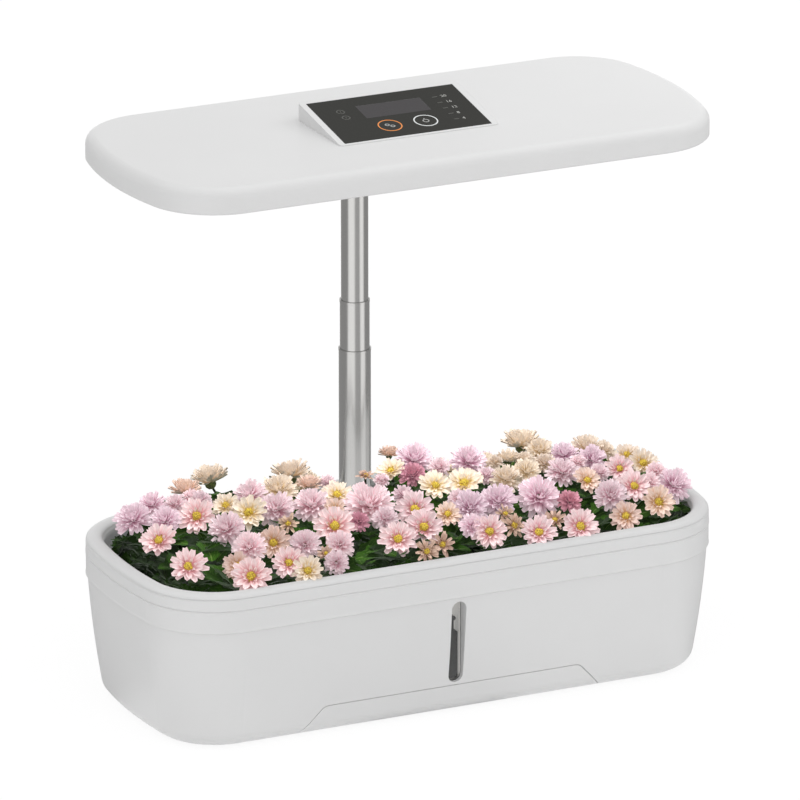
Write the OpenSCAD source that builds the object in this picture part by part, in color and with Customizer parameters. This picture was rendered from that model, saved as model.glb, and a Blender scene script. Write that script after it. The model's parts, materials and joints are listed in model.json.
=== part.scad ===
// Countertop hydroponic garden: water tank, lift-off grow deck with ten pods,
// telescopic mast, swivelling grow lamp with a touch panel, and a small pump.
// Origin: centre of the footprint on the surface it stands on. +Z up, +X right, -Y front.

/* [Base outline] */
// Width of the base over the ends
base_w = 420; // [390:1:460]
// Depth of the base over the long sides
base_d = 186; // [176:1:210]
// Corner radius of the base in plan
base_corner_r = 54; // [45:1:62]
// Bulge of the gently bowed ends beyond the corner circles
base_bulge = 2.6; // [1.6:0.2:4]

/* [Tank] */
// Height of the tank's top edge
tank_top = 85.4; // [80:0.1:95]
// Thickness of the tank wall
tank_wall = 2.6; // [2:0.1:3]
// Step by which the tank stands back under the deck skirt
skirt_step = 1.3; // [0.8:0.1:1.8]
// Straight part of the wall's draft over the whole height
draft_straight = 5.4; // [3:0.1:7]
// Curved part of the wall's draft, growing towards the bottom
draft_curved = 5.2; // [3:0.1:6]
// Radius of the bottom edge
bottom_edge_r = 11.5; // [9:0.5:13]
// Gap between the underside and the surface it stands on
ground_gap = 1.2; // [0.8:0.1:2]
// Height of the tank floor's underside
floor_z = 9; // [8:0.5:12]
// Thickness of the tank floor
floor_t = 2.4; // [2:0.1:3]
// Width of the turned-in lip around the underside
lip_w = 6; // [5:0.5:8]

// Distance of the cover screws from the ends
cover_bolt_in = 70; // [60:1:80]
// Distance of the cover screws from the long sides
cover_bolt_in_y = 45; // [40:1:50]
// Radius of the feet
foot_r = 9; // [6:0.5:10]
// Distance of the feet from the ends and the long sides
foot_in = 46; // [43:1:52]

/* [Front details] */
// Sideways place of the level window
window_x = 1.4; // [-4:0.2:4]
// Width of the level window
window_w = 10.6; // [9:0.1:12]
// Lowest point of the level window
window_low = 23.8; // [22:0.2:28]
// Highest point of the level window
window_high = 82.6; // [78:0.2:83]
// Half width of the apron at its top corners
apron_top_half = 92; // [85:1:100]
// Half width of the apron at the bottom
apron_foot_half = 112; // [104:1:125]
// Height of the apron's top edge
apron_top_z = 21.4; // [19:0.2:22.6]
// Thickness of the apron
apron_t = 1.5; // [1.2:0.1:1.7]
// Width of the seam around the apron
apron_seam = 0.35; // [0.3:0.05:0.5]

/* [Deck] */
// Height of the skirt band under the rim
skirt_h = 15.6; // [14:0.2:18]
// Thickness of the skirt and rim walls
deck_wall = 2.6; // [2:0.1:3]
// Height of the groove below the bead, above the skirt
bead_groove_h = 8.2; // [7:0.2:10]
// Width of the rounded bead
bead_w = 12; // [11:0.2:14]
// Height of the bead's crest above its groove
bead_h = 3.2; // [2.5:0.1:4]
// Height of the deck plate's top above the skirt's lower edge
deck_plate_h = 7.6; // [7:0.1:9]
// Thickness of the deck plate
deck_plate_t = 2.5; // [2:0.1:3]
// Depth of the locating rib inside the tank
rib_depth = 6; // [4:0.5:8]

// Distance of the deck screws from the ends
deck_bolt_in = 98; // [80:1:120]
// Distance of the deck screws from the long sides
deck_bolt_inset = 9.3; // [9.2:0.1:9.4]
// Radius of the open fill hole
fill_r = 11; // [8:0.5:12]
// Distance of the fill hole from the end
fill_in_x = 42; // [40:1:48]
// Distance of the fill hole from the back
fill_in_y = 34; // [32:1:37]

/* [Pods] */
// Number of pods in each row
pods_per_row = 5; // [3:1:5]
// Distance between pods along the deck
pod_pitch_x = 76; // [72:1:80]
// Distance between the two rows of pods
pod_pitch_y = 64; // [60:1:66]
// Forward shift of the pod rows, which makes room for the mast
pod_shift_y = 6; // [4:1:10]
// Radius of the pod holes
pod_hole_r = 17.2; // [15:0.1:18]
// Radial clearance of the baskets in their holes
pod_gap = 0.3; // [0.2:0.05:0.4]
// Height of a basket below its flange
basket_h = 46; // [38:1:50]
// Wall of a basket
basket_wall = 1.3; // [1:0.1:1.6]
// Height of a plant's leaves and flowers above the deck plate
plant_h = 50; // [35:1:55]

/* [Mast] */
// Distance of the mast from the back of the base
mast_in = 24; // [23:0.5:27]
// Diameter of the upper tube
upper_d = 18.6; // [17:0.1:19]
// Wall of each tube
tube_wall = 0.75; // [0.6:0.05:0.9]
// Radial running clearance between tubes
tube_fit = 0.08; // [0.05:0.01:0.1]
// Height of the lower tube's top end
lower_top = 212.7; // [200:0.5:225]
// Length of the middle tube that stands out of the lower one
middle_out = 34.4; // [20:0.5:60]
// Length of the upper tube that stands out of the middle one
upper_out = 127; // [90:1:135]
// Height of the lower tube's bottom end
lower_foot = 62; // [58:1:66]
// Length of the middle tube
middle_len = 140; // [130:1:145]
// Length of the upper tube that stays inside the middle one
upper_grip = 26; // [20:1:30]
// Height of the glides at the foot of the sliding tubes
glide_h = 6; // [4:0.5:8]

/* [Lamp] */
// Width of the lamp
lamp_w = 416; // [390:1:440]
// Depth of the lamp
lamp_d = 186; // [176:1:200]
// Corner radius of the lamp in plan
lamp_corner_r = 50; // [44:1:60]
// Bulge of the bowed ends of the lamp beyond the corner circles
lamp_bulge = 5; // [2:0.5:6]
// Thickness of the lamp
lamp_h = 17.5; // [16:0.5:20]
// Radius of the lamp's top edge
lamp_edge_r = 7.4; // [5:0.2:9]
// Wall of the lamp housing
lamp_wall = 2.2; // [1.8:0.1:2.6]
// Distance of the lamp screws from the ends
lamp_bolt_in = 48; // [40:1:60]
// Distance of the lamp screws from the long sides
lamp_bolt_in_y = 14; // [12:0.5:15]
// Thickness of the diffuser
diffuser_t = 1.8; // [1.5:0.1:2.2]
// Distance of the diode board from the lamp's outline
board_in = 20; // [18:1:30]
// Distance between diodes along the lamp
led_pitch_x = 20; // [12:1:21]
// Distance between rows of diodes
led_pitch_y = 34; // [20:1:36]
// Rows of light-emitting diodes
led_rows = 4; // [2:1:5]
// Diodes in each row
led_cols = 16; // [8:1:18]

/* [Control panel] */
// Width of the control pod
pod_box_w = 116; // [108:1:126]
// Front edge of the control pod, in front of the middle
pod_box_front = 37.4; // [34:0.2:42]
// Back edge of the control pod, behind the middle
pod_box_back = 30; // [30:0.5:36]
// Sideways place of the control pod
pod_x = -2; // [-6:0.5:6]
// Tilt of the control panel
panel_tilt = 9.75; // [7:0.25:11]
// Width of the black glass
glass_w = 107; // [100:1:110]
// Length of the black glass from front to back
glass_l = 61.9; // [58:0.1:63]
// Thickness of the black glass
glass_t = 0.8; // [0.6:0.1:0.9]
// Frame in front of the glass
glass_front = 2.2; // [2:0.1:4]
// Width of the display
display_w = 47; // [40:0.2:55]
// Length of the display from front to back
display_l = 18.8; // [14:0.2:24]
// Distance of the display from the back edge of the glass
display_back = 12.6; // [8:0.2:18]
// Distance of the two ring keys from the front edge of the glass
key_front = 16.5; // [12:0.5:20]
// Sideways place of the left ring key
key_left = -13.2; // [-20:0.2:-12]
// Sideways place of the right ring key
key_right = 12.9; // [9:0.1:18]

/* [Pump] */
// Sideways place of the pump
pump_x = -114; // [-120:1:-110]
// Place of the pump behind the middle
pump_y = -6; // [-8:1:-4]
// Length of the pump body
pump_l = 36; // [32:1:38]
// Width of the pump body
pump_w = 38; // [34:1:40]
// Height of the pump body
pump_h = 30; // [28:1:32]
// Radius of the impeller
impeller_r = 10; // [8:0.5:11]
// Radius of the pump's shaft
pump_shaft_r = 1.5; // [1.2:0.1:1.8]
// Outer radius of the outlet tube
hose_r = 5; // [4.5:0.1:5.5]

/* [Hidden] */
$fn = 96;
eps = 0.01;
seat = 0.3;               // clearance of loose fits
run_fit = 0.05;           // radial clearance of the pump's bearing
white_shell = "#e4e6e9";

// ---- heights that follow from the driving sizes ----
skirt_top = tank_top + skirt_h;
groove_z = skirt_top + bead_groove_h;
bead_z = groove_z + 0.4;
deck_top = tank_top + deck_plate_h;
deck_low = deck_top - deck_plate_t;
ledge_t = 2.5;
ledge_low = deck_low - ledge_t;
tank_floor_top = floor_z + floor_t;
mid_r = upper_d / 2 + tube_fit + tube_wall;
low_r = mid_r + tube_fit + tube_wall;
middle_top = lower_top + middle_out;
upper_top = middle_top + upper_out;
lamp_z = upper_top;
lamp_top = lamp_z + lamp_h;
lamp_roof = lamp_top - lamp_wall;
half_d = base_d / 2;
mast_y = half_d - mast_in;

// ---- wall of the tank: how far it stands inside the widest outline at height z ----
function wall_inset(z) = skirt_step + draft_straight * (tank_top - z) / tank_top
    + draft_curved * pow((tank_top - z) / tank_top, 2);
edge_cz = ground_gap + bottom_edge_r;
edge_lean = atan((draft_straight + 2 * draft_curved * (tank_top - edge_cz) / tank_top) / tank_top);
edge_start_z = edge_cz - bottom_edge_r * sin(edge_lean);
edge_ci = wall_inset(edge_start_z) + bottom_edge_r * cos(edge_lean);
wall_steps = 8;
edge_steps = 7;

// Points of the wall's surface at a depth t under the outer skin, from the top down
function wall_line(t) = concat(
    [for (i = [0 : wall_steps])
        let (z = tank_top + (edge_start_z - tank_top) * i / wall_steps) [wall_inset(z) + t, z]],
    [for (i = [1 : edge_steps])
        let (a = edge_lean + (90 - edge_lean) * i / edge_steps)
        [edge_ci - (bottom_edge_r - t) * cos(a), edge_cz - (bottom_edge_r - t) * sin(a)]]);
function backwards(list) = [for (i = [len(list) - 1 : -1 : 0]) list[i]];

// Profile between two depths under the skin, with the lip turned in under the floor
module wall_skin(t0, t1, lip) {
    polygon(concat(wall_line(t0), [[edge_ci + lip, ground_gap + t0], [edge_ci + lip, ground_gap + t1]],
        backwards(wall_line(t1))));
}

// ---- plan outline: long sides straight, corners round, ends gently bowed ----
// The corner circle's centre, and the bow's radius that meets the corner circle smoothly
function corner_at(w, d, r, bulge) = [w / 2 - r - bulge, d / 2 - r];
function bow_radius(d, r, bulge) = r + bulge / 2 + pow(d / 2 - r, 2) / (2 * bulge);
function seam_end(w, d, r, bulge) = let (c = corner_at(w, d, r, bulge))
    [c[0] + (c[0] - w / 2 + bow_radius(d, r, bulge)) * 0.4, c[1] * 1.4];

// Moves in a coarse and a fine step, which keeps long decimals exact where pieces of the sweep meet
module shift(x, y) {
    coarse_x = round(100 * x) / 100;
    coarse_y = round(100 * y) / 100;
    translate([coarse_x, coarse_y, 0]) translate([x - coarse_x, y - coarse_y, 0]) children();
}

// The share of the plan that belongs to one corner, and the share of one end
module corner_share(w, d, r, bulge) {
    c = corner_at(w, d, r, bulge);
    s = seam_end(w, d, r, bulge);
    polygon([c, s, [s[0], d], [c[0] - 1, d], [c[0] - 1, c[1]]]);
}

module end_share(w, d, r, bulge) {
    c = corner_at(w, d, r, bulge);
    s = seam_end(w, d, r, bulge);
    polygon([[c[0] - w / 10, 0], [c[0], -c[1]], [s[0], -s[1]], s, c]);
}

// Sweeps a profile (x = inset from the outline, y = height) once round the outline.
// A short bar at the place "core" in the profile runs across each seam, inside the wall.
core_w = 1;
module sweep_round(w, d, r, bulge, core) {
    c = corner_at(w, d, r, bulge);
    bow_r = bow_radius(d, r, bulge);
    seam_angle = atan(c[1] / (c[0] - w / 2 + bow_r));
    for (mx = [0, 1], my = [0, 1], a = [seam_angle, 90])
        mirror([mx, 0, 0]) mirror([0, my, 0]) translate([c[0], c[1], 0])
            rotate([0, 0, a - 2]) rotate_extrude(angle = 4)
                translate([r - core[0] - core_w / 2, core[1] - core_w / 2]) square(core_w);
    for (mx = [0, 1], my = [0, 1])
        mirror([mx, 0, 0]) mirror([0, my, 0]) intersection() {
            shift(c[0], c[1]) rotate_extrude(angle = 90) shift(r, 0) mirror([1, 0]) children();
            linear_extrude(2 * w) corner_share(w, d, r, bulge);
        }
    for (mx = [0, 1])
        mirror([mx, 0, 0]) intersection() {
            shift(w / 2 - bow_r, 0) rotate([0, 0, -90]) rotate_extrude(angle = 180)
                shift(bow_r, 0) mirror([1, 0]) children();
            linear_extrude(2 * w) end_share(w, d, r, bulge);
        }
    for (my = [0, 1])
        mirror([0, my, 0]) shift(-c[0], d / 2) rotate([90, 0, 90])
            linear_extrude(2 * c[0]) mirror([1, 0]) children();
}

// The same outline as a flat shape, drawn in by inset
module outline(w, d, r, bulge, inset) {
    c = corner_at(w, d, r, bulge);
    bow_r = round(1000 * bow_radius(d, r, bulge)) / 1000;
    square([2 * c[0], d - 2 * inset], center = true);
    for (mx = [0, 1]) mirror([mx, 0]) {
        for (my = [0, 1])
            mirror([0, my]) intersection() {
                translate(c) circle(r - inset);
                corner_share(w, d, r, bulge);
            }
        intersection() {
            translate([w / 2 - bow_r, 0]) circle(bow_r - inset, $fn = 360);
            end_share(w, d, r, bulge);
        }
    }
}

module plate_round(w, d, r, bulge, inset, z0, z1) {
    translate([0, 0, z0]) linear_extrude(z1 - z0) outline(w, d, r, bulge, inset);
}

module base_ring(core) {
    sweep_round(base_w, base_d, base_corner_r, base_bulge, core) children();
}

module base_plate(inset, z0, z1) {
    plate_round(base_w, base_d, base_corner_r, base_bulge, inset, z0, z1);
}

module lamp_plate(inset, z0, z1) {
    plate_round(lamp_w, lamp_d, lamp_corner_r, lamp_bulge, inset, z0, z1);
}

// ---- small shared shapes ----
module disc(r, z0, z1) {
    translate([0, 0, z0]) cylinder(r = r, h = z1 - z0);
}

module tube(r_out, r_in, z0, z1) {
    difference() {
        disc(r_out, z0, z1);
        disc(r_in, z0 - 1, z1 + 1);
    }
}

// Upright slot through the front, from y0 back to y1
module slot(w, low, high, y0, y1) {
    translate([window_x, y1, 0]) rotate([90, 0, 0]) linear_extrude(y1 - y0) {
        translate([0, low + w / 2]) circle(w / 2);
        translate([0, high - w / 2]) circle(w / 2);
        translate([-w / 2, low + w / 2]) square([w, high - low - w]);
    }
}

// Block with round upright edges, standing on z0
module round_block(l, w, r, z0, z1) {
    translate([0, 0, z0]) linear_extrude(z1 - z0) {
        square([l - 2 * r, w], center = true);
        square([l, w - 2 * r], center = true);
        for (mx = [-1, 1], my = [-1, 1])
            translate([mx * (l / 2 - r), my * (w / 2 - r)]) circle(r);
    }
}

// Pan-head screw pointing up from z, with a driver recess in its head
screw_r = 1.5;
screw_head_r = 2.7;
screw_head_h = 1.8;
screw_pilot_r = 1.55;
module screw(z, length) {
    difference() {
        union() {
            disc(screw_head_r, z, z + screw_head_h);
            disc(screw_r, z + screw_head_h - eps, z + screw_head_h + length);
        }
        for (turn = [0, 90])
            rotate([0, 0, turn]) translate([-1.4, -0.35, z - 1]) cube([2.8, 0.7, 2]);
    }
}

// ---- tank ----
cover_bolt_x = base_w / 2 - cover_bolt_in;
cover_bolt_y = half_d - cover_bolt_in_y;
cover_t = 2.2;
cover_inset = edge_ci + lip_w + seat;
boss_r = 4;
pocket_back = 13;          // inset of the window pocket's back face
pocket_side = 3;
lens_t = 1.4;
gasket_t = 0.6;
lens_grow = 1.6;
tank_clear_front = pocket_back;

module apron_area(grow) {
    corner = 7;
    rotate([90, 0, 0]) linear_extrude(2 * half_d) polygon(concat(
        [[-apron_foot_half - grow, ground_gap - 2], [apron_foot_half + grow, ground_gap - 2],
         [apron_foot_half + grow, ground_gap + 1]],
        [for (i = [0 : 4])
            let (a = 35 + 55 * i / 4)
            [apron_top_half - corner + (corner + grow) * cos(a) + 6,
             apron_top_z - corner + (corner + grow) * sin(a)]],
        [for (i = [0 : 4])
            let (a = 90 + 55 * i / 4)
            [-apron_top_half + corner + (corner + grow) * cos(a) - 6,
             apron_top_z - corner + (corner + grow) * sin(a)]],
        [[-apron_foot_half - grow, ground_gap + 1]]));
}

module front_side_skin(t0, t1, lip) {
    cx = corner_at(base_w, base_d, base_corner_r, base_bulge)[0];
    mirror([0, 1, 0]) translate([-cx, half_d, 0]) rotate([90, 0, 90])
        linear_extrude(2 * cx) mirror([1, 0]) wall_skin(t0, t1, lip);
}

module window_pocket() {
    top = tank_top;
    low = window_low - pocket_side;
    half = window_w / 2 + pocket_side;
    translate([window_x - half, -half_d, 0]) rotate([90, 0, 90]) linear_extrude(2 * half)
        polygon([[wall_inset(low) + 1, low], [pocket_back, low], [pocket_back, top],
                 [wall_inset(top) + 1, top], [wall_inset((top + low) / 2) + 1, (top + low) / 2]]);
}

module tank() {
    color(white_shell) difference() {
        union() {
            base_ring([wall_inset(tank_top / 2) + tank_wall / 2, tank_top / 2])
                wall_skin(0, tank_wall, lip_w);
            base_plate(wall_inset(floor_z) + tank_wall / 2, floor_z, tank_floor_top);
            window_pocket();
            for (mx = [-1, 1], my = [-1, 1])
                translate([mx * cover_bolt_x, my * cover_bolt_y, 0])
                    disc(boss_r, ground_gap + cover_t, floor_z + eps);
        }
        intersection() {
            front_side_skin(-1, apron_t + apron_seam, lip_w + 1);
            apron_area(apron_seam);
        }
        slot(window_w, window_low, window_high, -half_d - 1, -half_d + pocket_back + 1);
        slot(window_w + lens_grow, window_low - lens_grow / 2, window_high + lens_grow / 2,
            -half_d + pocket_back - lens_t - gasket_t, -half_d + pocket_back + 1);
        for (mx = [-1, 1], my = [-1, 1])
            translate([mx * cover_bolt_x, my * cover_bolt_y, 0])
                disc(screw_pilot_r, 0, floor_z - 1);
    }
}

module base_cover() {
    apron_lip = cover_inset - edge_ci + 1;
    color(white_shell) difference() {
        union() {
            base_plate(cover_inset, ground_gap, ground_gap + cover_t);
            intersection() {
                front_side_skin(0, apron_t, apron_lip);
                apron_area(0);
            }
        }
        for (mx = [-1, 1], my = [-1, 1])
            translate([mx * cover_bolt_x, my * cover_bolt_y, 0]) {
                disc(screw_r + seat, 0, 9);
                disc(screw_head_r + seat, 0, ground_gap + 1);
            }
        foot_places() disc(foot_r + seat, 0, ground_gap + foot_sink);
    }
}

module cover_screws() {
    color("silver") for (mx = [-1, 1], my = [-1, 1])
        translate([mx * cover_bolt_x, my * cover_bolt_y, 0]) screw(ground_gap + 1 - screw_head_h, 5.5);
}

foot_sink = 1.2;
module foot_places() {
    for (mx = [-1, 1], my = [-1, 1])
        translate([mx * (base_w / 2 - foot_in), my * (half_d - foot_in), 0]) children();
}

module feet() {
    color("dimgray") foot_places() disc(foot_r, 0, ground_gap + foot_sink);
}

// ---- level window ----
lens_front = -half_d + pocket_back - lens_t;

module window_lens() {
    grow = lens_grow - 0.2;
    color([0.8, 0.85, 0.88, 0.5])
        slot(window_w + grow, window_low - grow / 2, window_high + grow / 2,
            lens_front, lens_front + lens_t);
}

module window_gasket() {
    grow = lens_grow - 0.2;
    color("dimgray") difference() {
        slot(window_w + grow, window_low - grow / 2, window_high + grow / 2,
            lens_front - gasket_t, lens_front);
        slot(window_w, window_low, window_high, lens_front - gasket_t - 1, lens_front + 1);
    }
}

// Channel behind the window that holds the float upright
channel_depth = 7;
channel_w = 9.4;
guide_wall = 1.6;
guide_y = -half_d + pocket_back;
channel_low = window_low + 1;
channel_high = window_high - 0.6;
module float_guide() {
    half = window_w / 2 + pocket_side;
    color("gainsboro") difference() {
        translate([window_x - half, guide_y, window_low - 2])
            cube([2 * half, channel_depth + guide_wall, tank_top - 1 - window_low + 2]);
        translate([window_x - channel_w / 2, guide_y - 1, channel_low])
            cube([channel_w, channel_depth + 1, channel_high - channel_low]);
        translate([window_x - 1, guide_y, channel_low + 4])
            cube([2, channel_depth + guide_wall + 1, 20]);
    }
}

// Float bar with a narrow finger and a small knob on its left side
float_body_h = 33;
float_finger_h = 11;
float_gap = 0.4;
module level_float() {
    left = window_x - channel_w / 2 + float_gap;
    depth = channel_depth - 2 * float_gap;
    low = channel_low;
    color("#4a4a4a") {
        translate([left, guide_y + float_gap, low])
            cube([channel_w - 2 * float_gap, depth, float_body_h]);
        translate([left, guide_y + float_gap, low + float_body_h - eps])
            cube([2.2, depth, float_finger_h - 2]);
        translate([left + 2.2, guide_y + float_gap, low + float_body_h + float_finger_h - 2])
            rotate([-90, 0, 0]) cylinder(r = 2.2, h = depth);
    }
}

// ---- pump: stands on the tank floor, its impeller turns about X ----
pump_foot_h = 3;
pump_z0 = tank_floor_top + pump_foot_h;
pump_cz = pump_z0 + pump_h / 2;
volute_r = impeller_r + 1.5;
volute_l = 9;
magnet_r = 6;
magnet_l = 16;
magnet_gap = 0.5;
hose_wall = 1.5;
face_x = pump_l / 2;       // pump face that carries the cover
hose_x = face_x - volute_l / 2 - 1;
nozzle_z = ledge_low - 3;

module at_pump() {
    translate([pump_x, pump_y, 0]) children();
}

module along_x(x0, x1, r) {
    translate([x0, 0, pump_cz]) rotate([0, 90, 0]) cylinder(r = r, h = x1 - x0);
}

module pump_body() {
    color("#3a3d42") at_pump() difference() {
        union() {
            round_block(pump_l, pump_w, 5, pump_z0, pump_z0 + pump_h);
            translate([hose_x, 0, 0]) disc(hose_r - hose_wall - 0.2, pump_z0 + pump_h - 1,
                pump_z0 + pump_h + 10);
        }
        along_x(face_x - volute_l, face_x + 1, volute_r);
        along_x(face_x - volute_l - magnet_l - 1, face_x, magnet_r + magnet_gap);
        along_x(face_x - volute_l - magnet_l - 4, face_x, pump_shaft_r);
        translate([hose_x, 0, 0]) disc(2, pump_cz, pump_z0 + pump_h + 11);
        for (i = [-1 : 1])
            translate([-face_x + 5, i * 9, pump_z0 + pump_h - 1.5]) round_block(8, 3, 1, 0, 3);
    }
}

module pump_cover() {
    t = 2.5;
    color("#2e3136") at_pump() difference() {
        translate([face_x + t / 2 + eps, 0, 0]) round_block(t, pump_w - 4, 0.8, pump_z0 + 1, pump_z0 + pump_h - 1);
        for (i = [-2 : 2])
            translate([face_x - 1, i * 5 - 1.2, pump_cz + 3]) cube([t + 3, 2.4, 7]);
        for (i = [-2 : 2])
            translate([face_x - 1, i * 5 - 1.2, pump_cz - 10]) cube([t + 3, 2.4, 7]);
    }
}

module pump_filter() {
    color("#22252a") at_pump() translate([face_x + 2.5 + 4 + 2 * eps, 0, 0])
        round_block(8, pump_w - 8, 2, pump_z0 + 2, pump_z0 + pump_h - 2);
}

module pump_shaft() {
    color("silver") at_pump() along_x(face_x - volute_l - magnet_l - 4, face_x - 1.2, pump_shaft_r);
}

module pump_impeller() {
    x_back = face_x - volute_l - magnet_l + 0.5;
    hub_x = face_x - volute_l + 0.8;
    color("whitesmoke") at_pump() difference() {
        union() {
            along_x(x_back, hub_x + eps, magnet_r);
            along_x(hub_x, hub_x + 1.5, impeller_r);
            along_x(hub_x, hub_x + 6, 3.2);
            for (i = [0 : 5])
                translate([0, 0, pump_cz]) rotate([60 * i, 0, 0])
                    translate([hub_x + 0.5, -0.6, 2.5]) cube([5.5, 1.2, impeller_r - 2.8]);
        }
        along_x(x_back - 1, face_x + 1, pump_shaft_r + run_fit);
    }
}

module pump_feet() {
    color("dimgray") at_pump() for (mx = [-1, 1], my = [-1, 1])
        translate([mx * 11, my * 12, 0]) {
            disc(4.5, tank_floor_top, tank_floor_top + 1.6);
            disc(3, tank_floor_top, pump_z0);
        }
}

module outlet_tube() {
    color("#d9dde0") at_pump() translate([hose_x, 0, 0])
        tube(hose_r, hose_r - hose_wall, pump_z0 + pump_h, deck_low - 1);
}

// ---- deck ----
ledge_w = 12;
rib_t = 1.7;
rib_gap = 0.4;
rib_inset = wall_inset(tank_top - rib_depth) + tank_wall + rib_gap;
groove = 0.6;
crease = 1.1;
mast_notch_w = 64;
trim_wall_t = 2;
window_notch_w = window_w + 2 * pocket_side + 2;

module deck_bolts() {
    for (mx = [-1, 1], my = [-1, 1])
        translate([mx * (base_w / 2 - deck_bolt_in), my * (half_d - deck_bolt_inset), 0]) children();
    for (mx = [-1, 1])
        translate([mx * (base_w / 2 - deck_bolt_inset), 0, 0]) children();
}

module deck_frame() {
    color(white_shell) difference() {
        base_ring([(deck_wall + ledge_w) / 2, (deck_low + ledge_low) / 2]) polygon([
            [groove, tank_top], [0, tank_top + groove], [0.25, tank_top + 2.4],
            [0.25, skirt_top - 2], [0, skirt_top - groove], [groove, skirt_top],
            [deck_wall, skirt_top], [deck_wall, deck_low], [ledge_w, deck_low],
            [ledge_w, ledge_low], [rib_inset + rib_t, ledge_low],
            [rib_inset + rib_t, tank_top - rib_depth], [rib_inset, tank_top - rib_depth],
            [rib_inset, tank_top]]);
        translate([-mast_notch_w / 2, mast_y - 3, tank_top - rib_depth - 1])
            cube([mast_notch_w, half_d - mast_y + 3 - rib_inset - rib_t, rib_depth + 20]);
        translate([window_x - window_notch_w / 2, -half_d + 2, tank_top - rib_depth - 1])
            cube([window_notch_w, pocket_back + channel_depth + guide_wall, rib_depth + 1]);
        deck_bolts() disc(screw_r + seat, ledge_low - 1, deck_low + 1);
    }
}

function bead_point(a) = [bead_w / 2 - (bead_w / 2 - 0.4) * cos(a), bead_z + bead_h * sin(a)];

module rim_trim() {
    cavity_top = groove_z - 2;
    wall_in = bead_w + seat;
    color(white_shell) difference() {
        union() {
            base_ring([bead_w / 2, groove_z]) polygon(concat(
                [[deck_wall, skirt_top], [groove, skirt_top], [0, skirt_top + groove],
                 [0.2, skirt_top + 2], [0.2, groove_z - 1], [crease, groove_z]],
                [for (i = [0 : 12]) bead_point(15 * i)],
                [[wall_in, bead_z - 1.5], [wall_in, deck_top], [wall_in - trim_wall_t, deck_top],
                 [wall_in - trim_wall_t, cavity_top], [deck_wall, cavity_top]]));
            deck_bolts() disc(2.6, deck_top, cavity_top + 0.3);
        }
        deck_bolts() disc(screw_pilot_r, deck_top - 1, deck_top + 9);
    }
}

pod_first_x = -(pods_per_row - 1) / 2 * pod_pitch_x;
function pod_place(i) = [pod_first_x + (i % pods_per_row) * pod_pitch_x,
    (floor(i / pods_per_row) - 0.5) * pod_pitch_y - pod_shift_y];
pod_count = 2 * pods_per_row;
collar_h = 1.5;
fill_x = base_w / 2 - fill_in_x;
fill_y = half_d - fill_in_y;

module at_pod(i) {
    translate(concat(pod_place(i), [0])) children();
}

module grow_deck() {
    color("#d2d4d6") difference() {
        union() {
            base_plate(deck_wall + seat, deck_low, deck_top);
            for (i = [0 : pod_count - 1])
                at_pod(i) disc(pod_hole_r + 2.2, deck_top - eps, deck_top + collar_h);
        }
        for (i = [0 : pod_count - 1])
            at_pod(i) disc(pod_hole_r, deck_low - 1, deck_top + collar_h + 1);
        translate([0, mast_y, 0]) disc(socket_r + seat, deck_low - 1, deck_top + 1);
        translate([fill_x, fill_y, 0]) disc(fill_r, deck_low - 1, deck_top + 1);
        translate([pump_x + hose_x, pump_y, 0]) disc(nozzle_r + seat, deck_low - 1, deck_top + 1);
        deck_bolts() disc(screw_r + seat, deck_low - 1, deck_top + 1);
        socket_bolts() disc(screw_pilot_r, deck_low - 1, deck_top - 0.6);
    }
}

module deck_screws() {
    color("silver") deck_bolts() screw(ledge_low - screw_head_h, ledge_t + deck_plate_t + 7);
}

nozzle_r = hose_r + 1.6;
module outlet_nozzle() {
    color("#d2d4d6") translate([pump_x + hose_x, pump_y, 0]) difference() {
        union() {
            disc(nozzle_r, nozzle_z, deck_top + 1);
            disc(nozzle_r + 2, deck_top, deck_top + 1.6);
            disc(nozzle_r + 2, nozzle_z - 1, deck_low);
        }
        disc(hose_r + seat, nozzle_z - 2, deck_low - 0.5);
        disc(hose_r - hose_wall, deck_low - 1, deck_top + 3);
    }
}

// ---- mast ----
socket_wall = 1.5;
socket_r = low_r + run_fit + socket_wall;
socket_low = lower_foot - 3;
socket_bolt_x = 19;
module socket_bolts() {
    for (mx = [-1, 1])
        translate([mx * socket_bolt_x, mast_y, 0]) children();
}

module mast_socket() {
    color("#d2d4d6") difference() {
        union() {
            translate([0, mast_y, 0]) disc(socket_r, socket_low, deck_top);
            translate([-socket_bolt_x - 6, mast_y - 6, ledge_low])
                cube([2 * socket_bolt_x + 12, 12, ledge_t]);
        }
        translate([0, mast_y, 0]) disc(low_r + run_fit, lower_foot, deck_top + 1);
        translate([0, mast_y, 0]) disc(low_r - 3, socket_low - 1, lower_foot + 1);
        socket_bolts() disc(screw_r + seat, ledge_low - 1, deck_low + 1);
    }
}

module socket_screws() {
    color("silver") socket_bolts() screw(ledge_low - screw_head_h, ledge_t + 1.6);
}

lip_h = 1.4;
lip_out = 0.2;
module mast_tube(r, z0, z1) {
    color("silver") translate([0, mast_y, 0]) difference() {
        union() {
            disc(r, z0, z1);
            disc(r + lip_out, z1 - lip_h, z1);
        }
        disc(r - tube_wall, z0 - 1, z1 + 1);
    }
}

module mast_lower() {
    mast_tube(low_r, lower_foot, lower_top);
}

middle_foot = middle_top - middle_len;
module mast_middle() {
    mast_tube(mid_r, middle_foot, middle_top);
}

upper_foot = middle_top - upper_grip;
module mast_upper() {
    color("silver") translate([0, mast_y, 0])
        tube(upper_d / 2, upper_d / 2 - tube_wall, upper_foot, retainer_z);
}

// Plastic glides carry the friction springs at the foot of each sliding tube
module glide(r, z) {
    color("#3a3d42") translate([0, mast_y, 0]) difference() {
        union() {
            disc(r, z - glide_h, z);
            disc(r - tube_wall, z - eps, z + 3);
        }
        disc(r - 3, z - glide_h - 1, z + 4);
    }
}

module middle_glide() {
    glide(mid_r, middle_foot);
}

module upper_glide() {
    glide(upper_d / 2, upper_foot);
}

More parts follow.
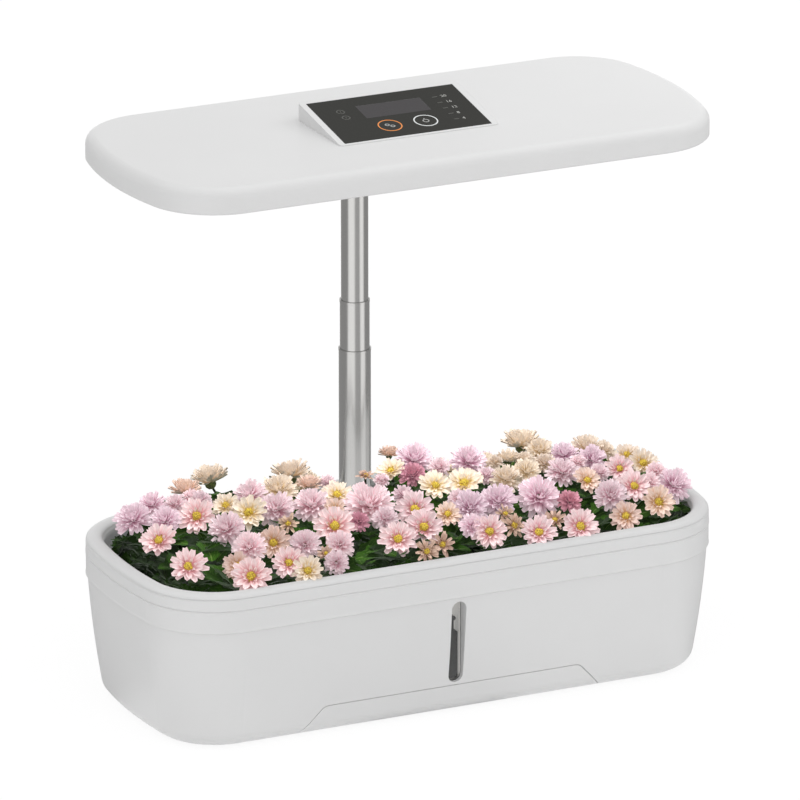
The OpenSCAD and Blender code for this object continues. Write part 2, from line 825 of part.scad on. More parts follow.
// ---- lamp ----
bush_t = 3.4;
bush_z0 = lamp_z + 3.4;
bush_z1 = bush_z0 + 5.4;
retainer_z = bush_z1 + 0.4;
module swivel_retainer() {
    color("#3a3d42") translate([0, mast_y, 0]) difference() {
        disc(upper_d / 2 + 2.4, retainer_z, retainer_z + 2.4);
        disc(upper_d / 2 - tube_wall - 2, retainer_z - 1, retainer_z + 4);
    }
}

module swivel_bush() {
    color("whitesmoke") translate([0, mast_y, 0])
        tube(upper_d / 2 + tube_fit + bush_t, upper_d / 2 + tube_fit, bush_z0, bush_z1);
}

lamp_lip = 0.8;
diffuser_z = lamp_z + 0.9;
diffuser_top = diffuser_z + diffuser_t;
lamp_bolt_x = [lamp_bolt_in - lamp_w / 2, 0, lamp_w / 2 - lamp_bolt_in];
lamp_boss_r = 3;
screw_sink = 0.9;
module lamp_bolts() {
    for (x = lamp_bolt_x, my = [-1, 1])
        if (my < 0 || x != 0)
            translate([x, my * (lamp_d / 2 - lamp_bolt_in_y), 0]) children();
}

module lamp_housing() {
    ri = lamp_edge_r - lamp_wall;
    zc = lamp_top - lamp_edge_r;
    color(white_shell) difference() {
        union() {
            sweep_round(lamp_w, lamp_d, lamp_corner_r, lamp_bulge,
                [lamp_edge_r, (lamp_top + lamp_roof) / 2]) polygon(concat(
                [[lamp_wall, lamp_z], [lamp_lip, lamp_z], [0, lamp_z + lamp_lip]],
                [for (i = [0 : 9]) [lamp_edge_r - lamp_edge_r * cos(10 * i), zc + lamp_edge_r * sin(10 * i)]],
                [[lamp_edge_r + 1, lamp_top], [lamp_edge_r + 1, lamp_roof]],
                [for (i = [9 : -1 : 0]) [lamp_edge_r - ri * cos(10 * i), zc + ri * sin(10 * i)]]));
            lamp_plate(lamp_edge_r, lamp_roof, lamp_top);
            lamp_bolts() disc(lamp_boss_r, diffuser_top, lamp_roof + eps);
            translate([0, mast_y, 0])
                tube(upper_d / 2 + bush_t + 2, upper_d / 2 + bush_t + tube_fit, bush_z0, lamp_roof + eps);
        }
        lamp_bolts() disc(screw_pilot_r, diffuser_z, lamp_roof - 1);
        inlet_place() cube([inlet_w + 2 * run_fit, inlet_l, inlet_h + 2 * run_fit], center = true);
        roof_opening();
    }
}

module lamp_diffuser() {
    color([0.95, 0.96, 0.97, 0.8]) difference() {
        lamp_plate(lamp_wall + seat, diffuser_z, diffuser_top);
        translate([0, mast_y, 0]) disc(upper_d / 2 + 0.6, lamp_z, lamp_z + 9);
        lamp_bolts() {
            disc(screw_r + seat, lamp_z, lamp_z + 9);
            disc(screw_head_r + seat, lamp_z, diffuser_z + screw_sink);
        }
    }
}

module lamp_screws() {
    color("silver") lamp_bolts()
        screw(diffuser_z + screw_sink - screw_head_h, diffuser_t - screw_sink + 6);
}

board_t = 1.6;
led_z = diffuser_top + 2;
led_h = 0.8;
board_z = led_z + led_h;
led_l = 3.5;
led_w = 2.8;
led_shift_y = 6;
post_r = 2.5;
post_x = 120;
post_y = 40;
module led_board() {
    color("whitesmoke") difference() {
        lamp_plate(board_in, board_z, board_z + board_t);
        translate([0, mast_y, 0]) disc(upper_d / 2 + bush_t + 2 + 1, board_z - 1, board_z + 4);
        lamp_bolts() disc(lamp_boss_r + 0.6, board_z - 1, board_z + 4);
        translate([-22, mast_y, board_z - 1]) cube([44, 60, 5]);
    }
    color("whitesmoke") for (mx = [-1, 1], my = [-1, 1])
        translate([mx * post_x, my * post_y, 0]) disc(post_r, board_z + board_t - eps, lamp_roof);
}

module leds() {
    color("khaki") for (i = [0 : led_cols - 1], j = [0 : led_rows - 1])
        translate([(i - (led_cols - 1) / 2) * led_pitch_x,
            (j - (led_rows - 1) / 2) * led_pitch_y - led_shift_y, led_z])
            translate([-led_l / 2, -led_w / 2, 0]) cube([led_l, led_w, led_h]);
}

// DC inlet in the lamp's rear wall
inlet_w = 9;
inlet_h = 8.2;
inlet_l = 13;
inlet_x = 62;
inlet_bore_r = 3.1;
inlet_pin_r = 1;
inlet_z = lamp_z + 8.6;
module inlet_place() {
    translate([inlet_x, lamp_d / 2 - inlet_l / 2, inlet_z]) children();
}

module dc_inlet() {
    color("#1e1f21") inlet_place() {
        difference() {
            cube([inlet_w, inlet_l, inlet_h], center = true);
            translate([0, -inlet_l / 2 + 3, 0]) rotate([-90, 0, 0]) cylinder(r = inlet_bore_r, h = inlet_l);
        }
        translate([0, -inlet_l / 2 + 2, 0]) rotate([-90, 0, 0]) cylinder(r = inlet_pin_r, h = inlet_l - 4);
    }
}

// ---- control pod: a wedge on the lamp, its panel tilts down towards the front ----
pod_box_l = pod_box_front + pod_box_back;
pod_front_h = 0.5;
pod_wall = 2.4;
pod_corner = 3;
glass_gap = 0.15;
module on_panel() {
    translate([pod_x, -pod_box_front, lamp_top + pod_front_h]) rotate([panel_tilt, 0, 0]) children();
}
glass_y = glass_front;

module pod_footprint(inset) {
    r = max(pod_corner - inset, 0.6);
    translate([pod_x, (pod_box_back - pod_box_front) / 2]) {
        square([pod_box_w - 2 * inset - 2 * r, pod_box_l - 2 * inset], center = true);
        square([pod_box_w - 2 * inset, pod_box_l - 2 * inset - 2 * r], center = true);
        for (mx = [-1, 1], my = [-1, 1])
            translate([mx * (pod_box_w / 2 - inset - r), my * (pod_box_l / 2 - inset - r)]) circle(r);
    }
}

glass_ledge = 2;
board_gap = 4;
module control_pod() {
    color(white_shell) difference() {
        intersection() {
            translate([0, 0, lamp_top]) linear_extrude(20) pod_footprint(0);
            on_panel() translate([-pod_box_w, -5, -40]) cube([2 * pod_box_w, 2 * pod_box_l, 40]);
        }
        on_panel() translate([-glass_w / 2 - glass_gap, glass_y - glass_gap, -glass_t])
            cube([glass_w + 2 * glass_gap, glass_l + 2 * glass_gap, 10]);
        on_panel() translate([-glass_w / 2 + glass_ledge, glass_y + glass_ledge, -40])
            cube([glass_w - 2 * glass_ledge, glass_l - 2 * glass_ledge, 41]);
    }
}

// Opening in the lamp's roof under the control pod, for the key board and its lead
module roof_opening() {
    translate([pod_x - glass_w / 2 + glass_ledge + board_gap - 1,
        glass_y + glass_ledge - pod_box_front + 1, lamp_roof - 1])
        cube([glass_w - 2 * (glass_ledge + board_gap - 1), glass_l - 2 * glass_ledge - 4, lamp_wall + 2]);
}

display_t = 0.5;
display_y = glass_y + glass_l - display_l - display_back;
module control_glass() {
    color("#3e3e38") on_panel() difference() {
        translate([-glass_w / 2, glass_y, -glass_t]) cube([glass_w, glass_l, glass_t]);
        translate([-display_w / 2, display_y, -display_t]) cube([display_w, display_l, 1]);
    }
}

module display_lens() {
    color("#585456") on_panel() translate([-display_w / 2 + 0.05, display_y + 0.05, -display_t])
        cube([display_w - 0.1, display_l - 0.1, display_t]);
}

spring_h = 1.6;
key_board_t = 1.2;
module control_board() {
    edge = glass_ledge + board_gap;
    color("darkgreen") on_panel()
        translate([-glass_w / 2 + edge, glass_y + edge, -glass_t - spring_h - key_board_t])
            cube([glass_w - 2 * edge, glass_l - 2 * edge, key_board_t]);
}

module touch_springs() {
    color("gold") on_panel() for (x = [key_left, key_right])
        translate([x, glass_y + key_front, 0]) tube(4, 3, -glass_t - spring_h, -glass_t);
}

// ---- pods ----
flange_t = 1.4;
flange_r = pod_hole_r + 2;
rest_z = deck_top + collar_h;
basket_top_r = pod_hole_r - pod_gap;
basket_foot_r = basket_top_r - 4.6;
basket_floor = 1.6;

module basket(i) {
    color("#f0f1f2") at_pod(i) difference() {
        union() {
            translate([0, 0, rest_z - basket_h])
                cylinder(r1 = basket_foot_r, r2 = basket_top_r - 0.6, h = basket_h - 6);
            disc(basket_top_r - 0.6, rest_z - 6 - eps, rest_z + eps);
            disc(flange_r, rest_z, rest_z + flange_t);
        }
        translate([0, 0, rest_z - basket_h + basket_floor])
            cylinder(r1 = basket_foot_r - basket_wall, r2 = basket_top_r - 0.6 - basket_wall,
                h = basket_h - 6 - basket_floor + eps);
        disc(basket_top_r - 0.6 - basket_wall, rest_z - 6, rest_z + flange_t + 1);
        for (k = [0 : 2])
            rotate([0, 0, 60 * k]) translate([-20, -1.6, rest_z - basket_h + 6])
                cube([40, 3.2, basket_h - 18]);
        for (k = [0 : 1])
            rotate([0, 0, 90 * k]) translate([-7, -1.2, rest_z - basket_h - 1]) cube([14, 2.4, 3]);
    }
}

sponge_top = rest_z + flange_t;
module sponges() {
    low = rest_z - basket_h + basket_floor + seat;
    grow = (basket_top_r - 0.6 - basket_foot_r) / (basket_h - 6);
    r0 = basket_foot_r - basket_wall - seat + grow * (basket_floor + seat);
    color("#3a2d22") for (i = [0 : pod_count - 1])
        at_pod(i) translate([0, 0, low])
            cylinder(r1 = r0 - grow * 2, r2 = basket_top_r - 0.6 - basket_wall - seat, h = sponge_top - low);
}

// Soft solid of one plant: a stem and a round cushion of leaves and flowers
stem_r = 4;
cushion_r = pod_pitch_x / 2 - 0.8;
cushion_half_y = pod_pitch_y / 2 - 0.4;
cushion_low = deck_top + 12;
cushion_mid = deck_top + 20;
module plant(i) {
    at_pod(i) {
        disc(stem_r, sponge_top, cushion_low + 1);
        intersection() {
            rotate_extrude() polygon(concat([[0, cushion_low], [cushion_r * 0.6, cushion_low]],
                [for (k = [0 : 6])
                    [cushion_r * cos(15 * k), cushion_mid + (deck_top + plant_h - cushion_mid) * sin(15 * k)]]));
            translate([-cushion_r, -cushion_half_y, 0]) cube([2 * cushion_r, 2 * cushion_half_y, 300]);
        }
    }
}

module plants_front() {
    color("#d9b3cc") for (i = [0 : pods_per_row - 1]) plant(i);
}

module plants_back() {
    color("#d9b3cc") for (i = [pods_per_row : pod_count - 1]) plant(i);
}

tank();
base_cover();
cover_screws();
feet();
window_lens();
window_gasket();
float_guide();
level_float();
pump_body();
pump_cover();
pump_filter();
pump_shaft();
pump_impeller();
pump_feet();
outlet_tube();
deck_frame();
rim_trim();
grow_deck();
deck_screws();
outlet_nozzle();
mast_socket();
socket_screws();
mast_lower();
mast_middle();
middle_glide();
mast_upper();
upper_glide();
swivel_retainer();
lamp_housing();
lamp_diffuser();
led_board();
leds();
lamp_screws();
swivel_bush();
dc_inlet();
control_pod();
control_glass();
display_lens();
control_board();
touch_springs();
for (i = [0 : pod_count - 1])
    basket(i);
sponges();
plants_front();
plants_back();
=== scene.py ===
# Countertop hydroponic garden: looks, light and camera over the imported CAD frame.
# %% [markdown]
# ## The frame
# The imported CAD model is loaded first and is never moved. Everything below gives one of its nodes a
# better material or adds a piece that rides on one of its bodies.

# %%
import json
import random
from math import atan2, cos, hypot, pi, radians, sin

import bmesh
import bpy
from mathutils import Euler, Matrix, Vector, noise


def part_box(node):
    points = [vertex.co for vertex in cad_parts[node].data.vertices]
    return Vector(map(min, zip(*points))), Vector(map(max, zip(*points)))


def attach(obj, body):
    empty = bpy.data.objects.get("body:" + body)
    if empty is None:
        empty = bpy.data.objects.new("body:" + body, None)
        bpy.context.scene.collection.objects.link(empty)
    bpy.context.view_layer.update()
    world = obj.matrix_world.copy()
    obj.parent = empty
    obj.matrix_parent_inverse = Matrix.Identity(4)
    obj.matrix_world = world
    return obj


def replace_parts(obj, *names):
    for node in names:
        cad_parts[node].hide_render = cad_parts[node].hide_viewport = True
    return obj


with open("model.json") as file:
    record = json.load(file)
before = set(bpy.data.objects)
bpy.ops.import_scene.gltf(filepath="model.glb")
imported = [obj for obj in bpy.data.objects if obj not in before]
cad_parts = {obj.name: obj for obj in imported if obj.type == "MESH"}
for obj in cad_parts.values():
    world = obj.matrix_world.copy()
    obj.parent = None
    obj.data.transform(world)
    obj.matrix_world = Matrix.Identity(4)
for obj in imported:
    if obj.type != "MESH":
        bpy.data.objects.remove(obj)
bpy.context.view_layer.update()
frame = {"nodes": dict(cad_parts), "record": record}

MM = 0.001
scene = bpy.context.scene


# %% [markdown]
# ## Camera
# From the front left, about 25 degrees round and 19 degrees up. A long lens far away keeps the upright
# lines of the mast and the tank almost parallel.

# %%
CAM_AZ, CAM_EL = -25.36, 18.62
CAM_LENS, CAM_SENSOR, CAM_DIST = 438.3, 36, 6.5064
CAM_SHIFT_X, CAM_SHIFT_Y = 0.0018, -0.0067
CAM_TARGET = Vector((0, 0, 0.2))


def make_camera():
    data = bpy.data.cameras.new("camera")
    data.sensor_width, data.lens = CAM_SENSOR, CAM_LENS
    data.shift_x, data.shift_y = CAM_SHIFT_X, CAM_SHIFT_Y
    data.clip_start, data.clip_end = 0.5, 30
    cam = bpy.data.objects.new("camera", data)
    scene.collection.objects.link(cam)
    az, el = radians(CAM_AZ), radians(CAM_EL)
    away = Vector((sin(az) * cos(el), -cos(az) * cos(el), sin(el)))
    cam.location = CAM_TARGET + away * CAM_DIST
    cam.rotation_mode = "QUATERNION"
    cam.rotation_quaternion = (-away).to_track_quat("-Z", "Y")
    scene.camera = cam
    return cam


CAMERA = make_camera()
print("camera at", tuple(round(v, 3) for v in CAMERA.location))


# %% [markdown]
# ## Helpers
# For colours, shader nodes, materials, meshes and objects.

# %%
def rgb(hexcode):
    """Linear RGBA of an sRGB hex colour."""
    parts = [int(hexcode[i:i + 2], 16) / 255 for i in (1, 3, 5)]
    return tuple(c / 12.92 if c <= 0.04045 else ((c + 0.055) / 1.055) ** 2.4 for c in parts) + (1.0,)


def add(tree, kind, feeds=None, **settings):
    """Adds a shader node. A setting names a property or an input; feeds holds inputs by their number. An
    input takes a value, a socket, or a node, which stands for the first of its outputs in use."""
    node = tree.nodes.new("ShaderNode" + kind)
    inputs = dict(feeds or {})
    for key, value in settings.items():
        if hasattr(node, key):
            setattr(node, key, value)
        else:
            inputs[key.replace("_", " ")] = value
    for key, value in inputs.items():
        if isinstance(value, bpy.types.Node):
            value = next(out for out in value.outputs if out.enabled)
        if isinstance(value, bpy.types.NodeSocket):
            tree.links.new(value, node.inputs[key])
        else:
            node.inputs[key].default_value = value
    return node


def material(surface):
    """Makes a function that adds a surface's nodes to a tree into one that makes a named material."""
    def make(name, *args, **settings):
        mat = bpy.data.materials.new(name)
        mat.use_nodes = True
        mat.node_tree.nodes.clear()
        add(mat.node_tree, "OutputMaterial", Surface=surface(mat.node_tree, *args, **settings))
        return mat
    return make


def object_coords(tree):
    return add(tree, "TexCoord").outputs["Object"]


def to_mesh(bm, name):
    """The mesh of a bmesh, which is used up."""
    mesh = bpy.data.meshes.new(name)
    bm.to_mesh(mesh)
    bm.free()
    return mesh


def new_object(name, mesh, materials):
    """Puts a mesh into the scene, with these materials in its slots."""
    for mat in materials:
        mesh.materials.append(mat)
    obj = bpy.data.objects.new(name, mesh)
    scene.collection.objects.link(obj)
    return obj


WHITE = rgb("#ffffff")
print("white", WHITE)


# %% [markdown]
# ## Light
# The object stands in a white light tent: bright overhead, greyer towards the sides, and a little
# brighter at the front than at the back, so that front and ends differ in tone. It is worked out from
# the direction alone, so it is the same room from every side, and camera rays see plain white.
#
# Polished tubes need something to mirror, so glossy rays see a dim surround with a ring of upright
# white cards, near the world's horizon and carried on over the floor.

# %%
MAST_X, MAST_Y = 0.0, 0.069
SKY_TOP, SKY_SIDE = 1.085, 0.335
KEY_ANGLE, KEY_SWING = 0.0, 0.24
CARD_DIM = 0.36
# Each card's angle, half width and glow; its edge fades between two shares of the half width.
CARDS = ((-50.5, 27.0, 1.2), (-4.0, 14.0, 0.5), (36.0, 18.0, 1.2), (160.0, 20.0, 1.2))
CARD_EDGE = (1.3, 0.7)
HEIGHT_BANDS = {  # part of the room: heights of the direction between which it changes, values there
    "key": (0.95, 0.35, 0.0, 1.0),
    "sky": (-0.1, 0.85, SKY_SIDE, SKY_TOP),
    "cards": (0.45, 0.2, 0.0, 1.0),
    "dome": (0.45, 0.95, CARD_DIM, SKY_TOP),
}


def compass(angle):
    """Flat direction that far round from the front, -Y, towards +X."""
    a = radians(angle)
    return (sin(a), -cos(a), 0)


def towards(tree, way, angle):
    """How far a flat direction points to a compass angle, from -1 to 1."""
    return add(tree, "VectorMath", {0: way, 1: compass(angle)}, operation="DOT_PRODUCT")


def flat_way(tree, vector):
    flat = add(tree, "VectorMath", {0: vector, 1: (1, 1, 0)}, operation="MULTIPLY")
    return add(tree, "VectorMath", {0: flat}, operation="NORMALIZE")


def card_ring(tree, way):
    """Glow of the ring of cards in a flat direction."""
    glow = None
    for angle, half, light in CARDS:
        low, high = (CARD_DIM, light) if glow is None else (0.0, light - CARD_DIM)
        start, end = [cos(radians(half * share)) for share in CARD_EDGE]
        card = add(tree, "MapRange", {0: towards(tree, way, angle)}, interpolation_type="SMOOTHSTEP",
                   From_Min=start, From_Max=end, To_Min=low, To_Max=high)
        glow = card if glow is None else add(tree, "Math", {0: glow, 1: card}, operation="ADD")
    return glow


def make_world():
    world = bpy.data.worlds.new("light_tent")
    scene.world = world
    world.use_nodes = True
    tree = world.node_tree
    tree.nodes.clear()
    toward = add(tree, "TexCoord").outputs["Generated"]
    height = add(tree, "SeparateXYZ", {0: toward}).outputs["Z"]
    way = flat_way(tree, toward)
    band = {part: add(tree, "MapRange", {0: height}, interpolation_type="SMOOTHSTEP",
                      From_Min=start, From_Max=end, To_Min=low, To_Max=high)
            for part, (start, end, low, high) in HEIGHT_BANDS.items()}

    swing = add(tree, "Math", {0: towards(tree, way, KEY_ANGLE), 1: band["key"]}, operation="MULTIPLY")
    key = add(tree, "Math", {0: swing, 1: KEY_SWING, 2: band["sky"]}, operation="MULTIPLY_ADD")
    tent = add(tree, "Background", Strength=key, Color=WHITE)
    ring = add(tree, "Math", {0: card_ring(tree, way), 1: band["cards"]}, operation="MULTIPLY")
    above = add(tree, "Math", {0: band["dome"], 1: ring}, operation="MAXIMUM")
    mirrored = add(tree, "Background", Strength=above, Color=WHITE)
    plain = add(tree, "Background", Strength=1.0, Color=WHITE)

    ray = add(tree, "LightPath").outputs
    lit = add(tree, "MixShader", {0: ray["Is Glossy Ray"], 1: tent, 2: mirrored})
    seen = add(tree, "Math", {0: ray["Is Camera Ray"], 1: ray["Is Transmission Ray"]}, operation="MAXIMUM")
    mix = add(tree, "MixShader", {0: seen, 1: lit, 2: plain})
    add(tree, "OutputWorld", Surface=mix)


scene.view_settings.view_transform = "Standard"
make_world()
print("light tent with", len(CARDS), "cards")


# %% [markdown]
# ## Floor, cards and fills
# The floor is plain white to the camera, throws a little light back, and carries the ring of cards for
# mirror rays. A card over the deck, which only mirror rays meet, does the same where the mast would
# mirror dark leaves. Two soft lights reach only what they are linked to: the plants, which the lamp
# shades, and the lamp itself, which runs from a lighter right to a darker left end.

# %%
FLOOR_HALF, FLOOR_GLOW, FLOOR_BOUNCE, FLOOR_WHITE = 14, 0.86, 0.18, 1.03
BED_CARD_AT, BED_CARD_HALF = (0, -0.005, 0.106), (0.19, 0.08)
BED_CARD_SHARE, BED_CARD_BASE = 0.34, 0.56
FILL_AT, FILL_SIZE, FILL_POWER = (0, 0, 0.362), (0.34, 0.13), 0.5
SIDE_AT, SIDE_AIM, SIDE_SIZE, SIDE_POWER = (0.55, 0.0, 0.75), (0, 0, 0.4), (0.3, 0.3), 0.55


def ring_about_mast(tree):
    """The ring of cards as it lies on a flat surface round the mast's foot."""
    about = add(tree, "VectorMath", {0: object_coords(tree), 1: (MAST_X, MAST_Y, 0)}, operation="SUBTRACT")
    return card_ring(tree, flat_way(tree, about))


def flat_card(name, middle, half, mat):
    bm = bmesh.new()
    bmesh.ops.create_grid(bm, x_segments=1, y_segments=1, size=1,
                          matrix=Matrix.Translation(middle) @ Matrix.Diagonal((*half, 1, 1)))
    return new_object(name, to_mesh(bm, name), [mat])


@material
def studio_floor(tree):
    paper = add(tree, "BsdfDiffuse", Color=rgb("#fbfbfb"), Roughness=1.0)
    bright = add(tree, "Emission", Color=WHITE, Strength=FLOOR_WHITE)
    cards = add(tree, "Emission", Color=WHITE, Strength=ring_about_mast(tree))
    ray = add(tree, "LightPath").outputs
    share = add(tree, "MapRange", {0: ray["Is Camera Ray"]}, To_Min=FLOOR_BOUNCE, To_Max=FLOOR_GLOW)
    seen = add(tree, "MixShader", {0: share, 1: paper, 2: bright})
    return add(tree, "MixShader", {0: ray["Is Glossy Ray"], 1: seen, 2: cards})


@material
def mirror_card(tree):
    glow = add(tree, "Math", {0: ring_about_mast(tree), 1: BED_CARD_SHARE, 2: BED_CARD_BASE},
               operation="MULTIPLY_ADD")
    return add(tree, "Emission", Color=WHITE, Strength=glow)


def soft_light(name, place, aim, size, power):
    """A soft rectangular light, and the collection of the only pieces that it shines on."""
    data = bpy.data.lights.new(name, "AREA")
    data.shape, data.size, data.size_y = "RECTANGLE", *size
    data.energy = power
    light = bpy.data.objects.new(name, data)
    light.location = place
    light.rotation_euler = (Vector(aim) - Vector(place)).to_track_quat("-Z", "Y").to_euler()
    light.visible_glossy = False
    scene.collection.objects.link(light)
    light.light_linking.receiver_collection = bpy.data.collections.new(name + "_receivers")
    return light.light_linking.receiver_collection


floor = flat_card("floor", (0, 0, 0), (FLOOR_HALF, FLOOR_HALF), studio_floor("matt_white_studio_floor"))
card = flat_card("bed_card", BED_CARD_AT, BED_CARD_HALF, mirror_card("soft_mirror_card"))
for ray in ("camera", "diffuse", "transmission", "shadow", "volume_scatter"):
    setattr(card, "visible_" + ray, False)
BED_FILL = soft_light("bed_fill", FILL_AT, (0, 0, 0), FILL_SIZE, FILL_POWER)
TOP_FILL = soft_light("side_card", SIDE_AT, SIDE_AIM, SIDE_SIZE, SIDE_POWER)
for node in ("lamp_housing", "control_pod"):
    TOP_FILL.objects.link(frame["nodes"][node])
print("floor, mirror card and two fills")


# %% [markdown]
# ## Moulded plastics
# The shell is ABS from a polished but lightly spark-eroded mould: satin, almost white, with a very fine
# grain and soft edges. A Bevel node rounds the light on the edges by a few tenths of a millimetre, and
# a fine noise stands for the mould's grain, drawn a little coarser than real so that it shows.

# %%
@material
def moulded(tree, hexcode, rough, grain=0.5, depth=0.012, edge=0.35, vary=0.02):
    """Moulded plastic. Grain, depth and edge are in millimetres."""
    where = object_coords(tree)
    fine = add(tree, "TexNoise", Vector=where, Scale=1 / (grain * MM), Detail=2.0)
    broad = add(tree, "TexNoise", Vector=where, Scale=14.0, Detail=2.0)
    base = Vector(rgb(hexcode)[:3])
    tone = add(tree, "Mix", data_type="RGBA", Factor=broad,
               A=(*(base * (1 - vary)), 1), B=(*(base * (1 + vary)), 1))
    gloss = add(tree, "MapRange", {0: fine}, To_Min=rough - 0.04, To_Max=rough + 0.04)
    soft = add(tree, "Bevel", samples=4, Radius=edge * MM)
    bump = add(tree, "Bump", Height=fine, Normal=soft, Strength=0.5, Distance=depth * MM)
    return add(tree, "BsdfPrincipled", Base_Color=tone, Roughness=gloss, Normal=bump)


MATERIALS = {
    "white_shell": moulded("satin_white_moulded_abs", "#e4e4e4", 0.4),
    "grey_deck": moulded("matt_light_grey_moulded_abs", "#c9ccce", 0.5),
    "guide_plastic": moulded("natural_light_grey_abs", "#cbc9c6", 0.45),
    "float_plastic": moulded("foamed_dark_grey_float", "#717273", 0.7, grain=0.8, depth=0.05, vary=0.1),
    "pump_plastic": moulded("black_pump_housing_abs", "#1e2022", 0.42, vary=0.08),
    "rotor_plastic": moulded("white_acetal_rotor", "#e6e5e1", 0.3),
    "glide_plastic": moulded("charcoal_acetal_glide", "#33353a", 0.38, vary=0.06),
    "bush_plastic": moulded("white_acetal_bush", "#e2e1dd", 0.34),
    "inlet_black": moulded("black_connector_nylon", "#141416", 0.45, vary=0.1),
    "basket_white": moulded("white_polypropylene_basket", "#e8e9ea", 0.4, edge=0.2),
    "foot_rubber": moulded("soft_grey_silicone_rubber", "#54565a", 0.75, grain=0.3, depth=0.03, vary=0.08),
    "seal_rubber": moulded("black_gasket_rubber", "#26272a", 0.7, grain=0.3, depth=0.03, vary=0.08),
    "silicone_tube": moulded("milky_silicone_tube", "#d3d8da", 0.3, vary=0.04),
    "display_grey": moulded("smoked_display_window", "#3c393b", 0.14, grain=1.2, depth=0.002, vary=0.05),
}
print("moulded plastics", len(MATERIALS))


# %% [markdown]
# ## Steel
# The mast is drawn stainless tube, polished along its length, and the screws are plain stainless. Both
# are metals, so the colour lies in the reflection. Thin grinding lines are a noise that is squeezed
# along the tube's axis.

# %%
STEEL_LINE, STEEL_RELIEF, STEEL_EDGE = 0.25 * MM, 0.004 * MM, 0.2 * MM


@material
def polished_steel(tree, hexcode, rough):
    where = object_coords(tree)
    squeeze = add(tree, "Mapping", Vector=where,
                  Scale=(1 / STEEL_LINE, 1 / STEEL_LINE, 1 / (40 * STEEL_LINE)))
    lines = add(tree, "TexNoise", Vector=squeeze, Scale=1.0, Detail=3.0)
    smudge = add(tree, "TexNoise", Vector=where, Scale=45.0, Detail=4.0)
    mixed = add(tree, "Math", {0: lines, 1: smudge}, operation="MULTIPLY")
    gloss = add(tree, "MapRange", {0: mixed}, From_Max=0.5, To_Min=rough - 0.05, To_Max=rough + 0.06)
    soft = add(tree, "Bevel", samples=4, Radius=STEEL_EDGE)
    bump = add(tree, "Bump", Height=lines, Normal=soft, Strength=0.4, Distance=STEEL_RELIEF)
    return add(tree, "BsdfPrincipled", Base_Color=rgb(hexcode), Roughness=gloss, Normal=bump, Metallic=1.0)


MATERIALS |= {
    "mast_steel": polished_steel("polished_stainless_tube", "#cbcac8", 0.2),
    "screw_steel": polished_steel("plain_stainless_screw", "#b9b8b6", 0.3),
    "spring_gold": polished_steel("gold_plated_spring", "#d9b45c", 0.25),
}
print("metals", 3)


# %% [markdown]
# ## Clear, lit and printed pieces
# The level window is clear acrylic, the lamp's cover is opal acrylic, and the touch panel is a sheet of
# gloss acrylic printed from behind, with a faint metal fleck in its near-black ink.

# %%
@material
def clear_acrylic(tree):
    haze = add(tree, "TexNoise", Vector=object_coords(tree), Scale=180.0, Detail=2.0)
    gloss = add(tree, "MapRange", {0: haze}, To_Min=0.02, To_Max=0.08)
    return add(tree, "BsdfPrincipled", Base_Color=rgb("#f5f5f3"), Roughness=gloss, IOR=1.49,
               Transmission_Weight=1.0)


@material
def flecked(tree, fineness, dark, light, relief=0.0, **finish):
    """A surface whose tone wavers between two colours, with that many flecks in a metre."""
    fleck = add(tree, "TexNoise", Vector=object_coords(tree), Scale=fineness, Detail=1.0)
    tone = add(tree, "Mix", data_type="RGBA", Factor=fleck, A=dark, B=light)
    if relief:
        finish["Normal"] = add(tree, "Bump", Height=fleck, Strength=0.2, Distance=relief)
    return add(tree, "BsdfPrincipled", Base_Color=tone, **finish)


MATERIALS |= {
    "clear_window": clear_acrylic("clear_acrylic_window"),
    "diffuser": flecked("opal_acrylic_diffuser", 900.0, rgb("#eceff1"), rgb("#f6f8f9"), 0.01 * MM,
                        Roughness=0.4, Subsurface_Weight=0.3, Subsurface_Radius=(0.003, 0.003, 0.003)),
    "panel_black": flecked("gloss_acrylic_printed_black", 1 / (0.35 * MM), rgb("#1f1f1b"), rgb("#292923"),
                           Roughness=0.14, Specular_IOR_Level=0.3),
}
print("clear, opal and printed acrylic")


# %% [markdown]
# ## Foam, sponge and circuit boards
# Open-cell foam and pressed peat show dark pores between light walls, which a Voronoi pattern gives.
# The boards are glass-fibre laminate under a thin coat of solder mask, with faint tracks.

# %%
@material
def celled(tree, wall, middle, cell, fade=(0.15, 0.6), relief=0.4, rough=0.9, domed=False):
    """Cells that many millimetres across: pores between walls, or domed florets and scales."""
    cells = add(tree, "TexVoronoi", Vector=object_coords(tree), Scale=1 / (cell * MM))
    ramp = add(tree, "MapRange", {0: cells}, From_Min=fade[0], From_Max=fade[1])
    tone = add(tree, "Mix", data_type="RGBA", Factor=ramp, A=rgb(middle), B=rgb(wall))
    height = cells if domed else ramp
    bump = add(tree, "Bump", invert=domed, Height=height, Strength=0.8, Distance=relief * MM)
    return add(tree, "BsdfPrincipled", Base_Color=tone, Normal=bump, Roughness=rough)


@material
def laminate(tree, mask, track):
    """Circuit board: solder mask over tracks a few millimetres apart."""
    tracks = add(tree, "TexBrick", Vector=object_coords(tree), Scale=160.0, Color1=rgb(mask),
                 Color2=rgb(mask), Mortar=rgb(track), Mortar_Size=0.03)
    return add(tree, "BsdfPrincipled", Base_Color=tracks, Roughness=0.35)


MATERIALS |= {
    "filter_foam": celled("black_open_cell_foam", "#34373a", "#101113", 1.2),
    "sponge_peat": celled("pressed_peat_sponge", "#4c3a29", "#1d140d", 1.0),
    "board_white": laminate("white_masked_led_board", "#eeeeec", "#dcdcd8"),
    "board_green": laminate("green_masked_circuit_board", "#1f6b3a", "#3f8f56"),
    "led_phosphor": celled("phosphor_coated_led", "#f4e28a", "#e8cf62", 0.6),
}
print("porous and laminated", 5)


